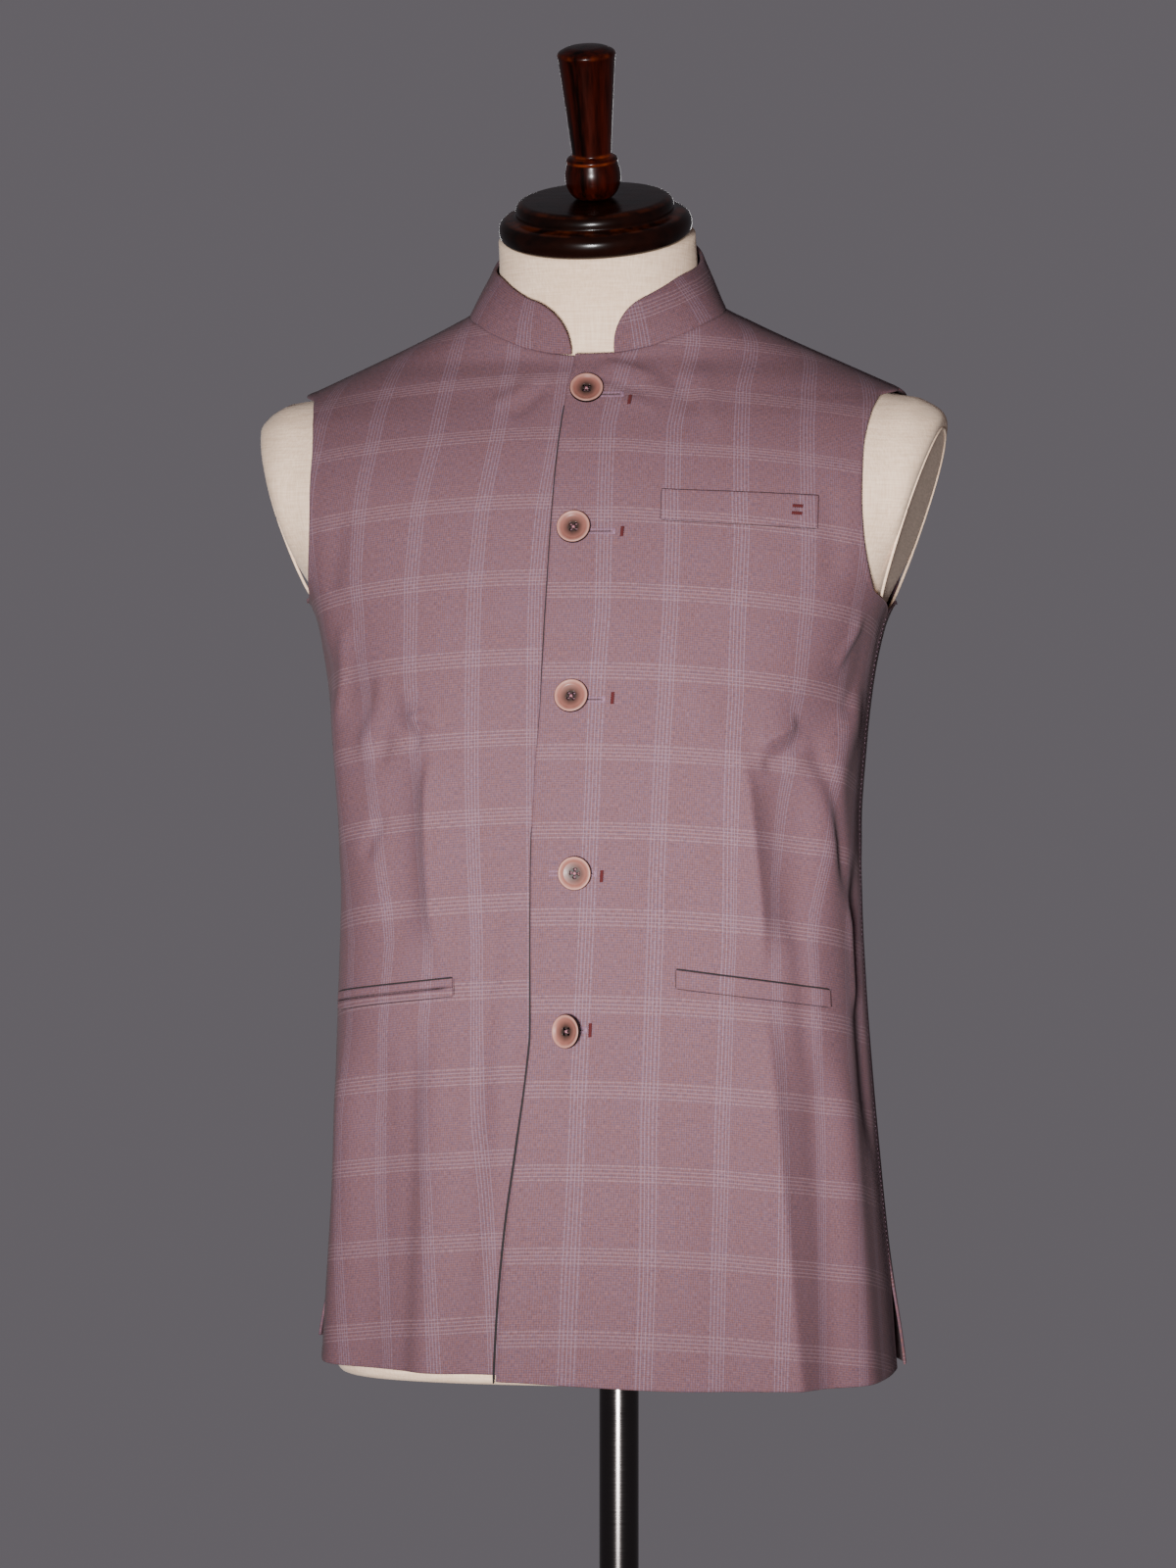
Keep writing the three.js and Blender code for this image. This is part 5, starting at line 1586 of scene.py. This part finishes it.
# %% Wood material
def wood_material(name, stretch, dark, warm, worn, wear_bands):
    material, shader = new_material(name, Roughness=0.24, Specular_IOR_Level=0.12, Coat_Weight=0.07,
                                    Coat_Roughness=0.07)
    place = add(material, "TexCoord", output=3)
    grain = noise(material, place, 1.0, detail=5, roughness=0.6, stretch=stretch)
    fine = noise(material, place, 3.1, detail=4, stretch=stretch)
    figure = calc(material, "ADD", grain, calc(material, "MULTIPLY", fine, 0.4))
    streak = ranged(material, figure, 0.55, 0.92)
    base = mix(material, streak, dark, warm)
    z = add(material, "SeparateXYZ", {0: place}, output=2)
    height = calc(material, "MULTIPLY", z, 1000.0)
    rubbed = noise(material, place, 90, detail=4)
    for middle, width, strength in wear_bands:
        away = calc(material, "ABSOLUTE", calc(material, "SUBTRACT", height, middle))
        band = ranged(material, away, width, 0.0, 0.0, strength, smoothed=True)
        patch = ranged(material, rubbed, 0.4, 0.62)
        base = mix(material, calc(material, "MULTIPLY", band, patch), base, worn)
    wire(material, base, shader, "Base Color")
    wire(material, ranged(material, fine, start=0.16, end=0.34), shader, "Roughness")
    bump(material, shader, fine, 0.0001, 0.3)
    return material


CAP_HEIGHT = 25.6
TOUCH_GAP = 0.3
cap_wood = wood_material("cap_wood", (14, 60, 60), colour(8, 3, 2), colour(22, 6, 3), colour(70, 26, 8),
                         [(15.4, 1.6, 0.9), (24.4, 1.6, 0.4)])
handle_wood = wood_material("handle_wood", (130, 130, 7), colour(8, 2, 1), colour(52, 10, 3),
                            colour(100, 38, 12), [(23.6, 1.4, 0.9), (27.4, 2.0, 0.8), (91, 2.4, 0.7)])
print("wood:", cap_wood.name, handle_wood.name)

# %% Cap and handle
CAP_PROFILE = [(0, 0), (56.5, 0), (59.4, 2.4), (60.7, 7), (60, 11.6), (57, 14.8), (51.3, 15.6), (49.4, 16.4),
               (49.8, 20), (48.4, 23.6), (45, 25.4), (0, 25.6)]
HANDLE_PROFILE = [(0, 0), (11.5, 0), (15.2, 4), (17.4, 10), (17.4, 16), (15.8, 22.5), (16.2, 24.4),
                  (14.6, 26.4), (12.2, 27), (12.4, 31), (15.4, 64), (17.6, 87), (18.3, 90.4), (17.4, 92.4),
                  (12, 95.2), (0, 96.2)]


def on_neck(height):
    """A matrix square to the leaning neck, a given height above its top."""
    over = np.array([0, math.cos(CAP_TILT), math.sin(CAP_TILT)])
    facing = np.array([0, -math.sin(CAP_TILT), math.cos(CAP_TILT)])
    origin = np.array([NECK_PLANE["x"], NECK_PLANE["y"], NECK_PLANE["z"]]) + facing * height
    return frame_at(origin, np.array([1.0, 0, 0]), over, facing)


cap = turned("cap_discs", eased(CAP_PROFILE, 2.2), 160, on_neck(TOUCH_GAP))
finish_piece(cap, cap_wood, "wood", "neck_cap")
handle = turned("cap_handle_turned", eased(HANDLE_PROFILE, 3.0, 6), 120, on_neck(TOUCH_GAP * 2 + CAP_HEIGHT))
finish_piece(handle, handle_wood, "wood", "cap_handle")
print("cap top at", round(max((handle.matrix_world @ v.co).z for v in handle.data.vertices), 4), "m")

# %% [markdown]
# ## The steel stand
# A flange under the form, a plain pole and a round foot carry it all. Polished steel is a mirror with
# very fine lines, so its roughness is low and a stretched noise runs round the pole. The foot was
# brushed on a lathe, so its lines are rings.

# %% Steel stand
def steel_material(name, rings=False):
    material, shader = new_material(name, Base_Color=colour(88, 83, 82), Metallic=1.0, Roughness=0.2)
    place = add(material, "TexCoord", output=3)
    if rings:
        away = add(material, "CombineXYZ", {"X": from_axis(material, place)})
        lines = noise(material, away, 2200, detail=3)
    else:
        lines = noise(material, place, 1.0, detail=3, stretch=(40, 40, 2600))
    smudge = noise(material, place, 9, detail=4)
    marks = calc(material, "ADD", calc(material, "MULTIPLY", lines, 0.5),
                 calc(material, "MULTIPLY", smudge, 0.6))
    wire(material, ranged(material, marks, start=0.06, end=0.3), shader, "Roughness")
    tone = ranged(material, smudge, start=0.0, end=0.3)
    wire(material, mix(material, tone, colour(88, 83, 82), colour(66, 62, 61)), shader, "Base Color")
    bump(material, shader, lines, 0.00002, 0.3)
    return material


FOOT_RADIUS, FOOT_THICKNESS, FOOT_HEIGHT = 170, 9, 33
FLANGE_THICKNESS, POLE_RADIUS = 5, 12.5
FLANGE_TOP = 640 - 1 - TOUCH_GAP
pole_low = FOOT_HEIGHT + TOUCH_GAP
pole_high = FLANGE_TOP - FLANGE_THICKNESS - TOUCH_GAP
pole_steel, foot_steel = steel_material("pole_steel"), steel_material("foot_steel", rings=True)


def at_floor(height):
    return Matrix.Translation((0, 0, height * MM))


STAND = {
    "stand_flange": (0.8, FLANGE_TOP - FLANGE_THICKNESS, pole_steel,
                     [(0, 0), (34, 0), (36, 2), (36, FLANGE_THICKNESS), (0, FLANGE_THICKNESS)]),
    "stand_pole": (0.8, pole_low, pole_steel,
                   [(0, 0), (POLE_RADIUS, 0), (POLE_RADIUS, pole_high - pole_low),
                    (0, pole_high - pole_low)]),
    "stand_foot": (1.4, 0, foot_steel,
                   [(0, 0), (FOOT_RADIUS, 0), (FOOT_RADIUS, 5.5), (FOOT_RADIUS - 3.5, FOOT_THICKNESS),
                    (29, FOOT_THICKNESS), (22, 13), (20, 31), (18, FOOT_HEIGHT), (0, FOOT_HEIGHT)]),
}
for name, (radius, height, steel, profile) in STAND.items():
    made = turned(name + "_turned", eased(profile, radius), 128, at_floor(height))
    finish_piece(made, steel, "steel", name)
print("stand:", list(STAND))

# %% [markdown]
# ## Sheet areas
# A sheet of cloth keeps its area however it folds. The panels and welts measure their own surfaces where
# they are made, and print the areas.

# %% Sheets
print("panels and welts print their own areas")

# %% [markdown]
# ## Floor, light and camera
# A plain pale floor and two soft lights stand in for the studio. The key light stands near the camera
# with a narrow beam, so the cloth turns into shade towards both sides, and a wide light behind keeps the
# back readable. The camera looks from a little to the wearer's left, with a long lens.

# %% Stage
def disc(name, radius, segments=96):
    turn = np.linspace(0, 2 * np.pi, segments, endpoint=False)
    points = np.stack([radius * np.cos(turn), radius * np.sin(turn), np.zeros(segments)], -1)
    mesh = bpy.data.meshes.new(name)
    mesh.from_pydata(points.tolist(), [], [tuple(range(segments))])
    made = bpy.data.objects.new(name, mesh)
    bpy.context.scene.collection.objects.link(made)
    return made


floor = disc("floor", 3.0)
floor_paint, floor_shader = new_material("floor_paint", Roughness=0.7, Base_Color=colour(196, 192, 190))
floor_cloud = noise(floor_paint, add(floor_paint, "TexCoord", output=3), 3.0, detail=3)
floor_share = add(floor_paint, "MapRange", {"Value": floor_cloud, 3: 0.0, 4: 0.3})
floor_base = mix(floor_paint, floor_share, colour(188, 184, 182), colour(174, 170, 168))
wire(floor_paint, floor_base, floor_shader, "Base Color")
floor.data.materials.append(floor_paint)


def aimed(kind_data, name, place, target):
    made = bpy.data.objects.new(name, kind_data)
    made.location = place
    made.rotation_euler = (Vector(target) - Vector(place)).to_track_quat("-Z", "Y").to_euler()
    bpy.context.scene.collection.objects.link(made)
    return made


LIGHTS = {
    "key": ((0.14, -2.75, 0.8), (0.02, 0, 0.95), 0.5, 32, 9.0),
    "back": ((-0.4, 3.0, 1.3), (0, 0, 0.95), 1.4, 180, 26),
}
for name, (place, target, size, spread_angle, power) in LIGHTS.items():
    lamp = bpy.data.lights.new(name, "AREA")
    lamp.shape = "DISK"
    lamp.size = size
    lamp.spread = math.radians(spread_angle)
    lamp.energy = power
    made = aimed(lamp, name, place, target)
    made.visible_camera = False

world = bpy.data.worlds.new("studio")
world.use_nodes = True
backdrop = world.node_tree.nodes["Background"]
backdrop.inputs["Color"].default_value = colour(102, 98, 103)
backdrop.inputs["Strength"].default_value = 1.0
bpy.context.scene.world = world

CAMERA_PLACE = (0.4838, -3.1802, 1.007)
CAMERA_TURN = (90, 0, 9)
CAMERA_LENS = 116.6
lens = bpy.data.cameras.new("camera")
lens.lens = CAMERA_LENS
lens.sensor_width = 36
lens.clip_end = 20
camera = bpy.data.objects.new("camera", lens)
camera.location = CAMERA_PLACE
camera.rotation_euler = [math.radians(angle) for angle in CAMERA_TURN]
bpy.context.scene.collection.objects.link(camera)
bpy.context.scene.camera = camera
print("lights:", list(LIGHTS))
